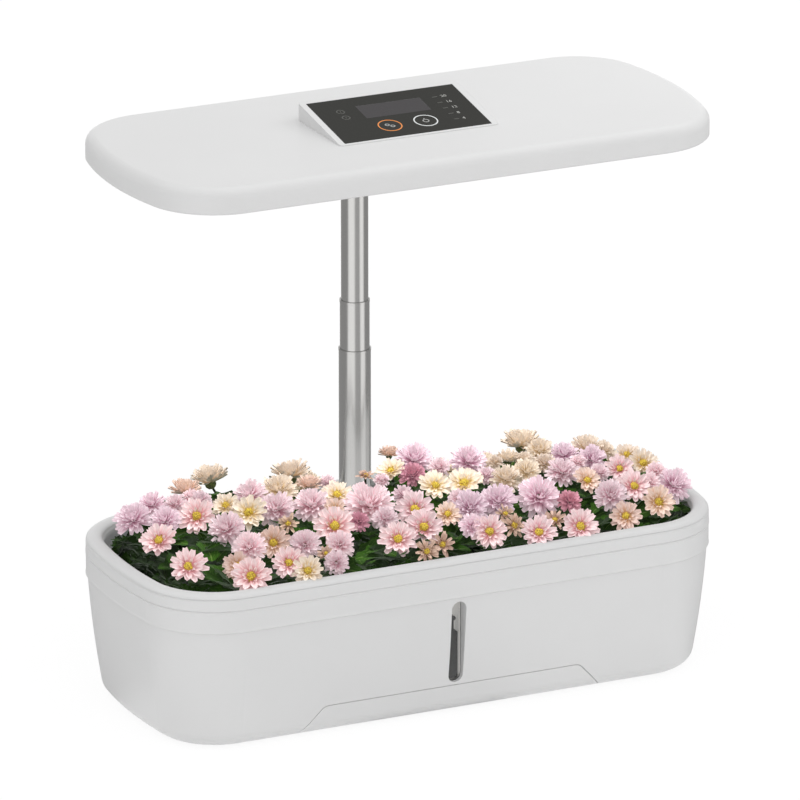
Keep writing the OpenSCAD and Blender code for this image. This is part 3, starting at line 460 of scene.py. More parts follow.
# %% [markdown]
# ## Finishes on the CAD pieces
# Each CAD node keeps its shape and gets the material of its own slot in the record; the plants are
# replaced further down. The tank's walls pass some daylight to the channel behind the window, and a
# glow that fades towards the channel's foot stands for it.

# %%
GUIDE_GLOW, GUIDE_DARK, GUIDE_FADE = 0.22, 0.02, 7 * MM


def light_the_channel(mat):
    tree = mat.node_tree
    skin = next(n for n in tree.nodes if n.type == "BSDF_PRINCIPLED")
    height = add(tree, "SeparateXYZ", {0: object_coords(tree)}).outputs["Z"]
    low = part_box("window_lens")[0].z
    fade = add(tree, "MapRange", {0: height}, interpolation_type="SMOOTHSTEP",
               From_Min=low, From_Max=low + GUIDE_FADE, To_Min=GUIDE_DARK, To_Max=GUIDE_GLOW)
    tree.links.new(fade.outputs[0], skin.inputs["Emission Strength"])
    skin.inputs["Emission Color"].default_value = WHITE


DRESSED = [part for part in frame["record"]["subparts"] if part["material_slot"] in MATERIALS]
for part in DRESSED:
    coats = frame["nodes"][part["node"]].data.materials
    coats.clear()
    coats.append(MATERIALS[part["material_slot"]])
light_the_channel(MATERIALS["guide_plastic"])
print("dressed", len(DRESSED), "nodes")


# %% [markdown]
# ## Marks on the touch panel
# Two ring keys, a column of dim dashes with plain numbers and two faint round marks are printed on the
# panel. They are thin ink shapes lying on the glass, whose plane is read from the glass's own box.

# %%
PANEL_TILT = radians(9.75)
GLASS_THICK = 0.8 * MM
GLASS_LOW, GLASS_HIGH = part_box("control_glass")
GLASS_LENGTH = (GLASS_HIGH.y - GLASS_LOW.y - GLASS_THICK * sin(PANEL_TILT)) / cos(PANEL_TILT)
GLASS_FRONT = Vector(((GLASS_LOW.x + GLASS_HIGH.x) / 2, GLASS_LOW.y,
                      GLASS_HIGH.z - GLASS_LENGTH * sin(PANEL_TILT)))
ON_GLASS = Matrix.Translation(GLASS_FRONT) @ Matrix.Rotation(PANEL_TILT, 4, "X")
INK_LIFT, INK_THICK = 0.02 * MM, 0.06 * MM
# Places and sizes of the marks on the glass, in millimetres.
KEY_V, KEY_LEFT, KEY_RIGHT, KEY_RING = 16.5, -13.2, 12.9, (7.4, 8.3, 48)
DASH_X, DASH_V, DASH_PITCH, DASH_COUNT = 33.7, 12.9, 8.55, 5
NUMBER_GAP, NUMBER_SIZE, NUMBER_STEP = 4.4, 4.3, 4
FAINT_X, FAINT_V = -36.5, (35.3, 44.2)
# Each piece's ink; its rings (x, y, inner, outer, segments); its bars (x, y, length, width).
MARKS = {
    # The key rings' ink glows faintly (0.25): painted light that brightens them on the dark glass.
    "key_ring_orange": (("orange_screen_ink", "#e08a42", 0.25), [(KEY_LEFT, KEY_V, *KEY_RING)], []),
    "key_ring_white": (("white_screen_ink", "#d9dcdc", 0.25), [(KEY_RIGHT, KEY_V, *KEY_RING)], []),
    "key_symbols": (("light_grey_screen_ink", "#b5b6b4"),
                    [(KEY_LEFT - 1.5, KEY_V + 1.2, 0.9, 1.7, 24),
                     (KEY_LEFT + 1.5, KEY_V - 1.2, 0.9, 1.7, 24), (KEY_RIGHT, KEY_V - 0.3, 1.5, 2.3, 32)],
                    [(KEY_RIGHT, KEY_V + 2.2, 0.9, 2.4)]),
    "panel_faint_marks": (("dim_grey_screen_ink", "#575753"), [(FAINT_X, v, 2.2, 3.0, 28) for v in FAINT_V],
                          [(DASH_X, DASH_V + DASH_PITCH * i, 3.8, 1.0) for i in range(DASH_COUNT)]
                          + [(FAINT_X, v, 0.7, 2.2) for v in FAINT_V]),
}


def make_object(name, bm, materials, body, at=None):
    """A new piece from a bmesh, with its place worked into its mesh."""
    if at is not None:
        bmesh.ops.transform(bm, matrix=at, verts=bm.verts)
    bmesh.ops.recalc_face_normals(bm, faces=bm.faces)
    obj = new_object(name, to_mesh(bm, name), materials)
    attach(obj, body)
    return obj


def raise_ink(bm, faces):
    """Gives flat ink its small thickness."""
    grown = bmesh.ops.extrude_face_region(bm, geom=faces, use_keep_orig=True)
    tops = [g for g in grown["geom"] if isinstance(g, bmesh.types.BMVert)]
    bmesh.ops.translate(bm, vec=(0, 0, INK_THICK), verts=tops)


def ring_of_ink(bm, x, y, inner, outer, segments):
    place = Matrix.Translation((x * MM, y * MM, INK_LIFT))
    rims = [bmesh.ops.create_circle(bm, segments=segments, radius=r * MM, matrix=place)["verts"]
            for r in (inner, outer)]
    edges = list({e for rim in rims for v in rim for e in v.link_edges})
    raise_ink(bm, bmesh.ops.bridge_loops(bm, edges=edges)["faces"])


def bar_of_ink(bm, x, y, length, width):
    made = bmesh.ops.create_grid(bm, x_segments=1, y_segments=1, size=0.5 * MM,
                                 matrix=Matrix.Translation((x * MM, y * MM, INK_LIFT))
                                 @ Matrix.Diagonal((length, width, 1, 1)))
    raise_ink(bm, list({f for v in made["verts"] for f in v.link_faces}))


def ink(name, hexcode, glow=0.0):
    """Screen-printed ink with a slightly uneven coat; a glow, where given, is painted light."""
    base = Vector(rgb(hexcode)[:3])
    lit = {"Emission_Color": rgb(hexcode), "Emission_Strength": glow} if glow else {}
    return flecked(name, 2500.0, (*(base * 0.9), 1), (*base, 1), Roughness=0.35, **lit)


def panel_numbers():
    """Plain hour numbers beside the dashes, as a mesh of thin ink."""
    bm = bmesh.new()
    for i in range(DASH_COUNT):
        text = bpy.data.curves.new("number", "FONT")
        text.body = str(NUMBER_STEP * (i + 1))
        text.size, text.extrude, text.resolution_u = NUMBER_SIZE * MM, INK_THICK / 2, 2
        text.align_x, text.align_y = "LEFT", "CENTER"
        holder = bpy.data.objects.new("number", text)
        flat = bpy.data.meshes.new_from_object(holder)
        start = len(bm.verts)
        bm.from_mesh(flat)
        bm.verts.ensure_lookup_table()
        at = ((DASH_X + NUMBER_GAP) * MM, (DASH_V + DASH_PITCH * i) * MM, INK_LIFT + INK_THICK / 2)
        bmesh.ops.translate(bm, vec=at, verts=bm.verts[start:])
        bpy.data.objects.remove(holder)
        bpy.data.curves.remove(text)
        bpy.data.meshes.remove(flat)
    make_object("panel_numbers", bm, [ink("pale_grey_screen_ink", "#c6c6c2")], "lamp", ON_GLASS)


for piece, (coat, rings, bars) in MARKS.items():
    marks = bmesh.new()
    for ring in rings:
        ring_of_ink(marks, *ring)
    for bar in bars:
        bar_of_ink(marks, *bar)
    make_object(piece, marks, [ink(*coat)], "lamp", ON_GLASS)
panel_numbers()
print("glass front edge at", [round(v / MM, 1) for v in GLASS_FRONT], "length", round(GLASS_LENGTH / MM, 1))


# %% [markdown]
# ## Level float
# A bar of foamed plastic with soft edges and a thin finger with a knob, which stands where the slot
# of the window shows it. It could be moulded and skived; here it is two bevelled bars and a short rod
# that reach into each other, in the box of the CAD float.

# %%
FLOAT_BODY_H, FINGER_W, FINGER_AT, FINGER_H, KNOB_R = 32.7 * MM, 2.2 * MM, 3.5 * MM, 9.3 * MM, 1.5 * MM


def make_float():
    low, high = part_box("level_float")
    width, depth = high.x - low.x, high.y - low.y
    bm = bmesh.new()
    for x, w, z0, z1 in ((0, width, 0, FLOAT_BODY_H),
                         (FINGER_AT, FINGER_W, FLOAT_BODY_H - 1 * MM, FLOAT_BODY_H + FINGER_H)):
        centre = Vector((low.x + x + w / 2, low.y + depth / 2, low.z + (z0 + z1) / 2))
        bmesh.ops.create_cube(bm, size=1.0, matrix=Matrix.LocRotScale(centre, None, (w, depth, z1 - z0)))
    bmesh.ops.bevel(bm, geom=bm.edges[:], offset=0.5 * MM, segments=2, affect="EDGES")
    knob = Vector((low.x + FINGER_AT + FINGER_W, low.y + depth / 2, low.z + FLOAT_BODY_H + FINGER_H))
    across = Matrix.LocRotScale(knob, Euler((pi / 2, 0, 0)), None)
    bmesh.ops.create_cone(bm, cap_ends=True, segments=20, radius1=KNOB_R, radius2=KNOB_R,
                          depth=depth - 0.4 * MM, matrix=across)
    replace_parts(make_object("float_bar", bm, [MATERIALS["float_plastic"]], "level_float"), "level_float")
    print("float", round(width / MM, 1), "x", round(depth / MM, 1), "mm")


make_float()


# %% [markdown]
# ## Petals and blooms
# The pods hold pot chrysanthemums in full flower: pale pink doubles, open blooms with yellow eyes,
# cream cups on taller stalks and a few that fade. A petal is a small grid, drawn out, narrowed at its
# foot, cupped and notched at its tip. A bloom is a few rings of slightly different petals, each ring
# steeper than the last, over squashed balls for the eye and the calyx.

# %%
random.seed(7)
PETAL_SLOT, EYE_SLOT, CALYX_SLOT = 0, 1, 2
RINGS = {  # petals, lift in degrees, length, width, curl, start; where given also twist, raggedness and slot
    "double": ((16, -16, 0.92, 0.33, 0.06, 0.07), (16, 4, 0.92, 0.31, 0.10, 0.07),
               (15, 22, 0.88, 0.29, 0.14, 0.07), (13, 40, 0.80, 0.26, 0.16, 0.07),
               (10, 57, 0.70, 0.24, 0.14, 0.07), (7, 74, 0.60, 0.20, 0.08, 0.07)),
    "daisy": ((13, 3, 0.84, 0.38, 0.06, 0.16, 0.0), (12, 15, 0.74, 0.34, 0.1, 0.15, 0.3),
              (8, 36, 0.40, 0.18, 0.1, 0.16, 0.1), (11, 34, 0.24, 0.11, 0.1, 0.17, 0.2, 1.6, EYE_SLOT)),
    "cup": ((16, 14, 0.98, 0.3, 0.12, 0.1), (16, 30, 1.0, 0.3, 0.12, 0.1), (14, 45, 0.96, 0.3, 0.12, 0.1),
            (11, 60, 0.86, 0.3, 0.12, 0.1), (7, 76, 0.74, 0.3, 0.12, 0.1)),
    "ragged": ((11, 0, 0.82, 0.28, 0.1, 0.16, 0.0, 2.2), (10, 26, 0.66, 0.26, 0.1, 0.12, 0.4, 2.6),
               (7, 50, 0.42, 0.2, 0.1, 0.1, 0.2, 2.0)),
}
DOMES = {  # radius, height, level, slot, bumps
    "double": ((0.26, 0.24, -0.06, CALYX_SLOT),),
    "daisy": ((0.25, 0.18, 0.06, EYE_SLOT, 0.4), (0.24, 0.22, -0.08, CALYX_SLOT)),
    "cup": ((0.2, 0.2, 0.26, EYE_SLOT, 0.3), (0.3, 0.3, -0.04, CALYX_SLOT)),
    "ragged": ((0.26, 0.2, 0.05, EYE_SLOT, 0.5), (0.24, 0.22, -0.08, CALYX_SLOT)),
}
BLOOM_COUNTS = {"double": 4, "daisy": 4, "cup": 3, "ragged": 3}
PETAL_CUP = 0.3


def petal(bm, length, width, lift, curl, notch, start):
    """One petal of unit scale along +Y, pitched up by lift degrees, standing off the axis by start."""
    made = bmesh.ops.create_grid(bm, x_segments=2, y_segments=3, size=0.5, calc_uvs=True)["verts"]
    for v in made:
        s, t = v.co.x * 2, v.co.y + 0.5
        half = width / 2 * (0.3 + 0.7 * sin(pi * (0.08 + 0.62 * t)))
        tip = notch * length * (0.3 - abs(abs(s) - 0.5)) if t > 0.9 else 0.0
        v.co = Vector((s * half * (1 - 0.36 * t ** 6), length * t + tip,
                       PETAL_CUP * width * s * s + curl * length * t * t))
    place = Matrix.Rotation(radians(lift), 4, "X")
    place.translation = (0, start, 0)
    bmesh.ops.transform(bm, matrix=place, verts=made)
    return made


def ring_of_petals(bm, count, lift, length, width, curl, start, twist=None, ragged=1.0, slot=PETAL_SLOT):
    """Petals round the stalk, each a little different so that the ring looks grown; its twist is
    random if none is given."""
    twist = random.random() * 6 if twist is None else twist
    for i in range(count):
        pitch = lift + random.gauss(0, 5 * ragged)
        reach = length * random.uniform(1 - 0.14 * ragged, 1.06)
        verts = petal(bm, reach, width, pitch, curl, random.uniform(-0.1, 0.22), start)
        roll = random.uniform(-0.25, 0.25) * ragged
        angle = 2 * pi * (i + random.uniform(-0.22, 0.22) * ragged) / count + twist
        for turn, axis in ((roll, "Y"), (angle, "Z")):
            bmesh.ops.rotate(bm, cent=(0, 0, 0), matrix=Matrix.Rotation(turn, 3, axis), verts=verts)
        for f in {f for v in verts for f in v.link_faces}:
            f.material_index = slot


def dome(bm, radius, height, z, slot, bumps=0.0):
    made = bmesh.ops.create_icosphere(bm, subdivisions=2, radius=1.0)["verts"]
    for v in made:
        v.co *= 1 + bumps * noise.noise(v.co * 5 + Vector((radius, 0, 9 * z)))
    bmesh.ops.transform(bm, matrix=Matrix.LocRotScale((0, 0, z), None, (radius, radius, height)), verts=made)
    for f in {f for v in made for f in v.link_faces}:
        f.material_index = slot


def start_plant():
    """A bmesh with the layers that the plants' materials read."""
    bm = bmesh.new()
    bm.loops.layers.uv.new("petal")
    bm.verts.layers.float.new("tint_and_painted_shade")
    return bm


def smooth_mesh(bm, name):
    for f in bm.faces:
        f.smooth = True
    return to_mesh(bm, name)


def bloom(form, number):
    """One bloom of unit radius, looking up."""
    bm = start_plant()
    for ring in RINGS[form]:
        ring_of_petals(bm, *ring)
    for ball in DOMES[form]:
        dome(bm, *ball)
    return smooth_mesh(bm, "%s_%d" % (form, number))


BLOOMS = {form: [bloom(form, i) for i in range(count)] for form, count in BLOOM_COUNTS.items()}
print("faces a bloom", {form: len(made[0].polygons) for form, made in BLOOMS.items()})


# %% [markdown]
# ## Petal, eye and leaf materials
# A petal is thin and silky: its foot is darker than its tip, partly its own deeper colour and partly painted
# shade where the petals crowd together, fine veins run along it, and each bloom's own tint shifts its tone.
# A faint glow in the tip colour is painted light that lifts the petals' shade. The colour runs along the
# petal's UV. Leaves are darker, with a pale midrib, and those low in the tray are painted darker, as shade
# under the canopy, while the highest are painted lighter.

# %%
PETAL_KINDS = {  # tip colour, foot colour
    "lilac": ("#fff0f6", "#c9669b"),
    "pink": ("#fff1f4", "#d57c98"),
    "deep": ("#e6afc0", "#a04a70"),
    "daisy": ("#fde9ea", "#db8e98"),
    "cream": ("#f6e9de", "#dfba78"),
    "peach": ("#f5ddd4", "#cd9664"),
    "faded": ("#e8cab9", "#8c5937"),
}
# A faint glow in the tip colour: painted light that lifts the petals' shade, for light passing through them.
PETAL_GLOW = 0.05
RIB_PITCH = 0.09
FLORETS = {"cell": 0.9, "fade": (0.2, 0.8), "rough": 0.7, "domed": True}


@material
def petal_silk(tree, tip, foot):
    uv = add(tree, "UVMap", uv_map="petal")
    split = add(tree, "SeparateXYZ", {0: uv})
    # Darker foot: partly the petal's own deeper colour, partly painted shade where the petals crowd
    # together.
    along = add(tree, "MapRange", {0: split.outputs["Y"]}, interpolation_type="SMOOTHSTEP",
                From_Min=0.08, From_Max=0.76)
    veins = add(tree, "TexWave", Vector=uv, bands_direction="X", Scale=0.95, Distortion=1.2, Detail=1.0)
    vein_mask = add(tree, "MapRange", {0: veins.outputs["Fac"]}, To_Min=0.76, To_Max=1.0)
    mask = add(tree, "Math", {0: along, 1: vein_mask}, operation="MULTIPLY")
    tone = add(tree, "Mix", data_type="RGBA", Factor=mask, A=rgb(foot), B=rgb(tip))
    tint_and_painted_shade = add(tree, "Attribute", attribute_name="tint_and_painted_shade").outputs["Fac"]
    light = add(tree, "MapRange", {0: tint_and_painted_shade}, To_Min=0.9, To_Max=1.06)
    hue = add(tree, "MapRange", {0: tint_and_painted_shade}, To_Min=0.495, To_Max=0.514)
    shade = add(tree, "HueSaturation", Color=tone, Value=light, Hue=hue)
    # The faint emission is painted light that lifts the petals' shade.
    return add(tree, "BsdfPrincipled", Base_Color=shade, Roughness=0.62, Specular_IOR_Level=0.25,
               Emission_Color=rgb(tip), Emission_Strength=PETAL_GLOW)


@material
def leaf_green(tree, blade, rib):
    split = add(tree, "SeparateXYZ", {0: add(tree, "UVMap", uv_map="petal")})
    off = add(tree, "Math", {0: split.outputs["X"], 1: 0.5}, operation="SUBTRACT")
    side = add(tree, "Math", {0: off}, operation="ABSOLUTE")
    slant = add(tree, "Math", {0: split.outputs["Y"], 1: side}, operation="SUBTRACT")
    ribs = add(tree, "Math", {0: slant, 1: RIB_PITCH}, operation="PINGPONG")
    rib_line = add(tree, "MapRange", {0: ribs}, From_Max=0.02, To_Min=0.4, To_Max=0.0)
    mid_line = add(tree, "MapRange", {0: side}, From_Min=0.015, From_Max=0.06, To_Min=0.8, To_Max=0.0)
    line = add(tree, "Math", {0: rib_line, 1: mid_line}, operation="MAXIMUM")
    tone = add(tree, "Mix", data_type="RGBA", Factor=line, A=rgb(blade), B=rgb(rib))
    blotch = add(tree, "TexNoise", Vector=object_coords(tree), Scale=90.0, Detail=3.0)
    tint_and_painted_shade = add(tree, "Attribute", attribute_name="tint_and_painted_shade").outputs["Fac"]
    mixed = add(tree, "Math", {0: tint_and_painted_shade, 1: blotch}, operation="ADD")
    # Low tint values darken leaves low in the tray and high ones lighten the top: painted shade and light,
    # with random blotches.
    value = add(tree, "MapRange", {0: mixed}, From_Min=0.5, From_Max=1.5, To_Min=0.08, To_Max=1.5)
    shade = add(tree, "HueSaturation", Color=tone, Value=value)
    bump = add(tree, "Bump", Height=line, Strength=0.5, Distance=0.3 * MM)
    return add(tree, "BsdfPrincipled", Base_Color=shade, Normal=bump, Roughness=0.6, Specular_IOR_Level=0.1)


PETALS = [petal_silk(kind + "_petal_silk", *pair) for kind, pair in PETAL_KINDS.items()]
EYE = celled("yellow_disc_florets", "#a9802c", "#efd64a", relief=0.5, **FLORETS)
CALYX = celled("green_calyx_scales", "#39431d", "#6f7a3c", relief=0.2, **FLORETS)
LEAF = leaf_green("chrysanthemum_leaf", "#2f5410", "#6f8a46")
STEM = leaf_green("green_flower_stem", "#6a8540", "#8aa05a")
FLOWER_SLOTS = [*PETALS, EYE, CALYX]
PETAL_INDEX = {kind: i for i, kind in enumerate(PETAL_KINDS)}
print("flower materials", len(FLOWER_SLOTS) + 2)


# %% [markdown]
# ## Where the blooms stand
# The heads make a dense low cushion over the tray. Their places are spots of the 800 by 800 view, in
# pixels, with a radius and a kind; each is carried along the line of sight onto the cushion. Leafy
# gaps are spots too. A loose seeded grid fills what the spots leave bare, so that the bed is full from
# every side.

# %%
VIEW_PX, PX_PER_MM = 800, 1.497
HEAD_PX, LEAF_PX, HEAD_RISE = 13, 15, 0.95  # how far heads and leaves reach up in the view
BLOOM_SPOTS = {
    "double lilac": ((132, 517, 18), (151, 503, 14), (165, 519, 15), (414, 457, 18), (469, 459, 18),
        (565, 453, 15), (593, 458, 15), (675, 483, 18), (470, 506, 18), (498, 499, 18), (473, 525, 13),
        (539, 495, 21)),
    "double pink": ((226, 527, 18), (249, 493, 16), (276, 507, 18), (311, 503, 19), (369, 502, 25),
        (249, 546, 16), (305, 544, 15), (340, 544, 14), (336, 562, 12), (563, 470, 16), (611, 494, 16),
        (175, 503, 11), (200, 500, 11), (327, 481, 9), (439, 466, 11), (651, 481, 10), (403, 493, 10),
        (458, 498, 10), (385, 517, 12), (486, 474, 10), (191, 496, 10), (600, 471, 10), (656, 470, 10),
        (578, 461, 9), (382, 479, 8)),
    "double deep": ((412, 473, 13), (359, 521, 10), (570, 500, 12)),
    "double cream": ((506, 477, 16), (527, 470, 14), (540, 449, 14), (546, 462, 12), (588, 447, 18),
        (278, 488, 18), (605, 449, 10), (524, 458, 9), (495, 461, 8)),
    "daisy daisy": ((158, 539, 18), (188, 565, 18), (196, 515, 19), (335, 525, 20), (251, 575, 19),
        (289, 562, 16), (398, 538, 18), (415, 508, 19), (424, 526, 19), (581, 525, 18), (635, 485, 17),
        (620, 468, 14), (490, 531, 17), (539, 531, 17)),
    "daisy cream": ((225, 504, 14), (248, 511, 18), (337, 493, 16), (390, 469, 15), (436, 484, 16),
        (464, 481, 19), (644, 462, 16), (627, 453, 13), (308, 570, 15)),
    "daisy peach": ((273, 542, 16), (588, 479, 14), (659, 501, 16), (626, 515, 15), (448, 513, 13),
        (237, 565, 14), (334, 508, 11)),
    "cup cream": ((209, 476, 18), (290, 471, 18), (521, 440, 18), (508, 457, 12)),
    "cup peach": ((185, 488, 15), (309, 483, 12), (389, 452, 10)),
    "ragged faded": ((427, 551, 13), (443, 544, 13), (515, 525, 13), (555, 519, 12), (288, 523, 11),
        (326, 553, 9), (506, 513, 10), (366, 474, 9)),
}
LEAFY_GAPS = ((128, 552, 16), (148, 570, 18), (176, 590, 16), (205, 545, 18), (215, 572, 18),
    (228, 590, 16), (268, 523, 9), (272, 564, 9), (316, 582, 9), (353, 572, 15), (365, 547, 13),
    (378, 560, 14), (312, 525, 10), (398, 567, 12), (457, 537, 9), (458, 558, 16), (480, 555, 12),
    (600, 505, 14), (600, 521, 12), (650, 521, 11), (682, 506, 13), (560, 541, 8), (515, 546, 9))
SKYLINE = ((100, 530), (118, 514), (140, 502), (160, 495), (172, 488), (186, 478), (230, 478), (240, 490),
    (262, 485), (275, 470), (305, 468), (318, 480), (334, 484), (376, 484), (388, 452), (405, 444),
    (430, 446), (440, 456), (470, 444), (487, 452), (497, 464), (507, 452), (570, 443), (600, 440),
    (618, 445), (642, 449), (660, 465), (682, 472), (700, 495))
BED_X, BED_FRONT, BED_BACK, BED_CORNER = 0.192, -0.084, 0.076, 0.044
DECK_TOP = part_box("grow_deck")[1].z
CANOPY = ((-0.100, 0.110), (-0.083, 0.117), (-0.060, 0.125), (-0.030, 0.133), (0.0, 0.137), (0.04, 0.141),
          (0.07, 0.136))  # height of the cushion by Y
END_FROM, END_WIDTH, END_DROP = 0.160, 0.040, 0.012  # how it falls off towards the tray's ends
BACK_ROW, SIGHT_TOP, SIGHT_FOOT = BED_BACK - 0.010, 0.22, 0.09


def along(table, place):
    """Value at a place in a table of (place, value) pairs, level beyond its ends."""
    for (a, low), (b, high) in zip(table, table[1:]):
        if place <= b:
            return low + (high - low) * max(0.0, (place - a) / (b - a))
    return table[-1][1]


def canopy_height(x, y):
    """Height of the cushion of flowers over a place on the tray."""
    edge = max(0.0, abs(x) - END_FROM) / END_WIDTH
    return along(CANOPY, y) - END_DROP * edge * edge


def past_core(x, y):
    """How far a place lies out of the tray's core, the outline without its rounding, in X and in Y."""
    core_x, core_y = BED_X - BED_CORNER, (BED_BACK - BED_FRONT) / 2 - BED_CORNER
    y -= (BED_FRONT + BED_BACK) / 2
    return x - max(-core_x, min(core_x, x)), y - max(-core_y, min(core_y, y))


def inside_bed(x, y, margin=0.0):
    """Whether a place lies inside the tray's rounded outline."""
    return hypot(*past_core(x, y)) <= BED_CORNER - margin


def over_skyline(place, reach):
    """How many pixels a head or leaf of that reach stands over the bed's skyline; negative if under."""
    local = CAMERA.rotation_quaternion.inverted() @ (place - CAMERA.location)
    px = (local.x / -local.z * CAM_LENS / CAM_SENSOR + 0.5 - CAM_SHIFT_X) * VIEW_PX
    py = (0.5 - local.y / -local.z * CAM_LENS / CAM_SENSOR + CAM_SHIFT_Y) * VIEW_PX
    return along(SKYLINE, px) - (py - reach)


def onto_canopy(px, py):
    """Place on the cushion under a spot of the view; spots over its back edge stand up from there."""
    across = ((px / VIEW_PX - 0.5) + CAM_SHIFT_X) * CAM_SENSOR / CAM_LENS
    up = (-(py / VIEW_PX - 0.5) + CAM_SHIFT_Y) * CAM_SENSOR / CAM_LENS
    start, way = CAMERA.location, (CAMERA.rotation_quaternion @ Vector((across, up, -1))).normalized()
    near, far = (SIGHT_TOP - start.z) / way.z, (SIGHT_FOOT - start.z) / way.z
    for _ in range(30):
        middle = (near + far) / 2
        at = start + way * middle
        near, far = (middle, far) if at.z > canopy_height(at.x, at.y) else (near, middle)
    at = start + way * near
    return at if at.y <= BACK_ROW else start + way * ((BACK_ROW - start.y) / way.y)


print("spots", sum(len(spots) for spots in BLOOM_SPOTS.values()), "gaps", len(LEAFY_GAPS))


# %% [markdown]
# ## Planting the blooms
# Every bloom looks up and out of the cushion, cups more upright. Copies of the few forms, each turned,
# sized and tinted on its own, are collected in one mesh for the front row and one for the back row.
# Mirror rays don't meet the plants, so that the mast stays light.

# %%
TOWARDS_VIEW = Vector(compass(CAM_AZ))
LEAN_SPREAD = {"double": (0.85, 0.2), "daisy": (1.0, 0.2), "cup": (0.1, 0.09), "ragged": (0.85, 0.3)}
HEAD_SCALE, ROW_SPLIT = 1.13, -0.006
GRID_STEP, GRID_JITTER, GRID_DEPTH, GRID_RADIUS = 0.019, 0.3, (0.001, 0.008), (0.0095, 0.0120)
GRID_BLOOMS = ("double lilac", "double pink", "daisy daisy", "double pink", "daisy cream", "double cream")
HEAD_ROOM, GAP_ROOM, GRID_ROOM, MAST_ROOM, WALL_ROOM = 0.020, 0.009, 0.018, 0.027, 0.008
MOST_SUNK = 0.030


def facing(at, form):
    lean, spread = LEAN_SPREAD[form]
    out = Vector((at.x / 0.3, (at.y + 0.01) / 0.12, 0))
    front = max(0.0, min(1.0, (0.03 - at.y) / 0.1))
    way = Vector((0, 0, 1)) + out * spread * 2 + TOWARDS_VIEW * lean * (0.5 + 0.5 * front)
    way += Vector([random.uniform(-spread, spread) for _ in range(3)])
    return way.normalized()


def turn_towards(way):
    spin = Matrix.Rotation(random.uniform(0, 2 * pi), 4, "Z")
    return way.to_track_quat("Z", "Y").to_matrix().to_4x4() @ spin


def plant(name, mesh, materials):
    obj = new_object(name, mesh, materials)
    obj.visible_glossy = False
    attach(obj, "deck")
    return obj


class Bouquet:
    """Collects copies of small meshes in one bmesh."""

    def __init__(self):
        self.bm = start_plant()
        self.tint_and_painted_shade = self.bm.verts.layers.float["tint_and_painted_shade"]

    def put(self, mesh, place, tint_and_painted_shade, petal_index=None):
        old_verts, old_faces = len(self.bm.verts), len(self.bm.faces)
        self.bm.from_mesh(mesh)
        self.bm.verts.ensure_lookup_table()
        self.bm.faces.ensure_lookup_table()
        new = self.bm.verts[old_verts:]
        bmesh.ops.transform(self.bm, matrix=place, verts=new)
        for v in new:
            v[self.tint_and_painted_shade] = tint_and_painted_shade
        if petal_index is not None:
            for f in self.bm.faces[old_faces:]:
                f.material_index = (petal_index, len(PETALS), len(PETALS) + 1)[f.material_index]


def bloom_places():
    """(place, facing, radius, form, colour) of every bloom: those at the spots, then the loose grid."""
    places = []
    for words, spots in BLOOM_SPOTS.items():
        form, colour = words.split()
        for px, py, r in spots:
            at = onto_canopy(px, py)
            places.append((at, facing(at, form), r / PX_PER_MM * MM, form, colour))
    taken = [(spot[0], HEAD_ROOM) for spot in places]
    taken += [(onto_canopy(px, py), r / PX_PER_MM * MM + GAP_ROOM) for px, py, r in LEAFY_GAPS]
    for i in range(int(2 * BED_X / GRID_STEP) + 1):
        for j in range(int((BED_BACK - BED_FRONT) / GRID_STEP) + 1):
            x = -BED_X + GRID_STEP * (i + random.uniform(-GRID_JITTER, GRID_JITTER))
            y = BED_FRONT + GRID_STEP * (j + random.uniform(-GRID_JITTER, GRID_JITTER))
            at = Vector((x, y, canopy_height(x, y) - random.uniform(*GRID_DEPTH)))
            near_mast = hypot(x - MAST_X, y - MAST_Y) < MAST_ROOM
            if (near_mast or not inside_bed(x, y, WALL_ROOM)
                    or any((at - other).xy.length < room for other, room in taken)):
                continue
            form, colour = random.choice(GRID_BLOOMS).split()
            radius = random.uniform(*GRID_RADIUS)
            sink = over_skyline(at, HEAD_PX) / PX_PER_MM / HEAD_RISE * MM
            if sink > MOST_SUNK:
                continue
            at.z -= max(0.0, sink)
            places.append((at, facing(at, form), radius, form, colour))
            taken.append((at, GRID_ROOM))
    return places


def plant_blooms(places):
    rows = {"flowers_front": Bouquet(), "flowers_back": Bouquet()}
    for at, way, radius, form, colour in places:
        row = rows["flowers_front" if at.y < ROW_SPLIT else "flowers_back"]
        proto = random.choice(BLOOMS[form])
        foot = at - way * radius * (0.4 if form == "cup" else 0.25)
        place = Matrix.Translation(foot) @ turn_towards(way) @ Matrix.Scale(radius * HEAD_SCALE, 4)
        row.put(proto, place, random.random(), PETAL_INDEX[colour])
    made = {name: plant(name, to_mesh(row.bm, name), FLOWER_SLOTS) for name, row in rows.items()}
    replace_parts(made["flowers_front"], "plants_front")
    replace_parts(made["flowers_back"], "plants_back")
    return made


PLACES = bloom_places()
FLOWERS = plant_blooms(PLACES)
print("blooms", len(PLACES), "highest", round(max(spot[0].z for spot in PLACES), 3), "faces",
      {name: len(row.data.polygons) for name, row in FLOWERS.items()})


# %% [markdown]
# ## Stems and leaves
# Each stem runs from the middle of the nearest basket up to its bloom. A leaf is a lobed grid folded
# along its midrib, and about 1900 turned copies fill the tray between the deck and the blooms. The
# lowest ones lie nearly flat and hide the deck, and the last ones stand along the tray's wall.

# %%
POD_X, POD_Y = [0.076 * (i - 2) for i in range(5)], (-0.038, 0.026)
STEM_RADIUS, STEM_SPREAD = 0.0009, 0.009
LEAF_COUNT, LOW_LEAF_COUNT, WALL_LEAF_COUNT, LEAF_TRIES = 900, 600, 420, 12
LEAF_HALF_WIDTH, EDGE_MARGIN, MAST_CLEAR, WALL_LEAN = 0.27, -0.001, 0.019, 1.2
RIM_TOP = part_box("rim_trim")[1].z


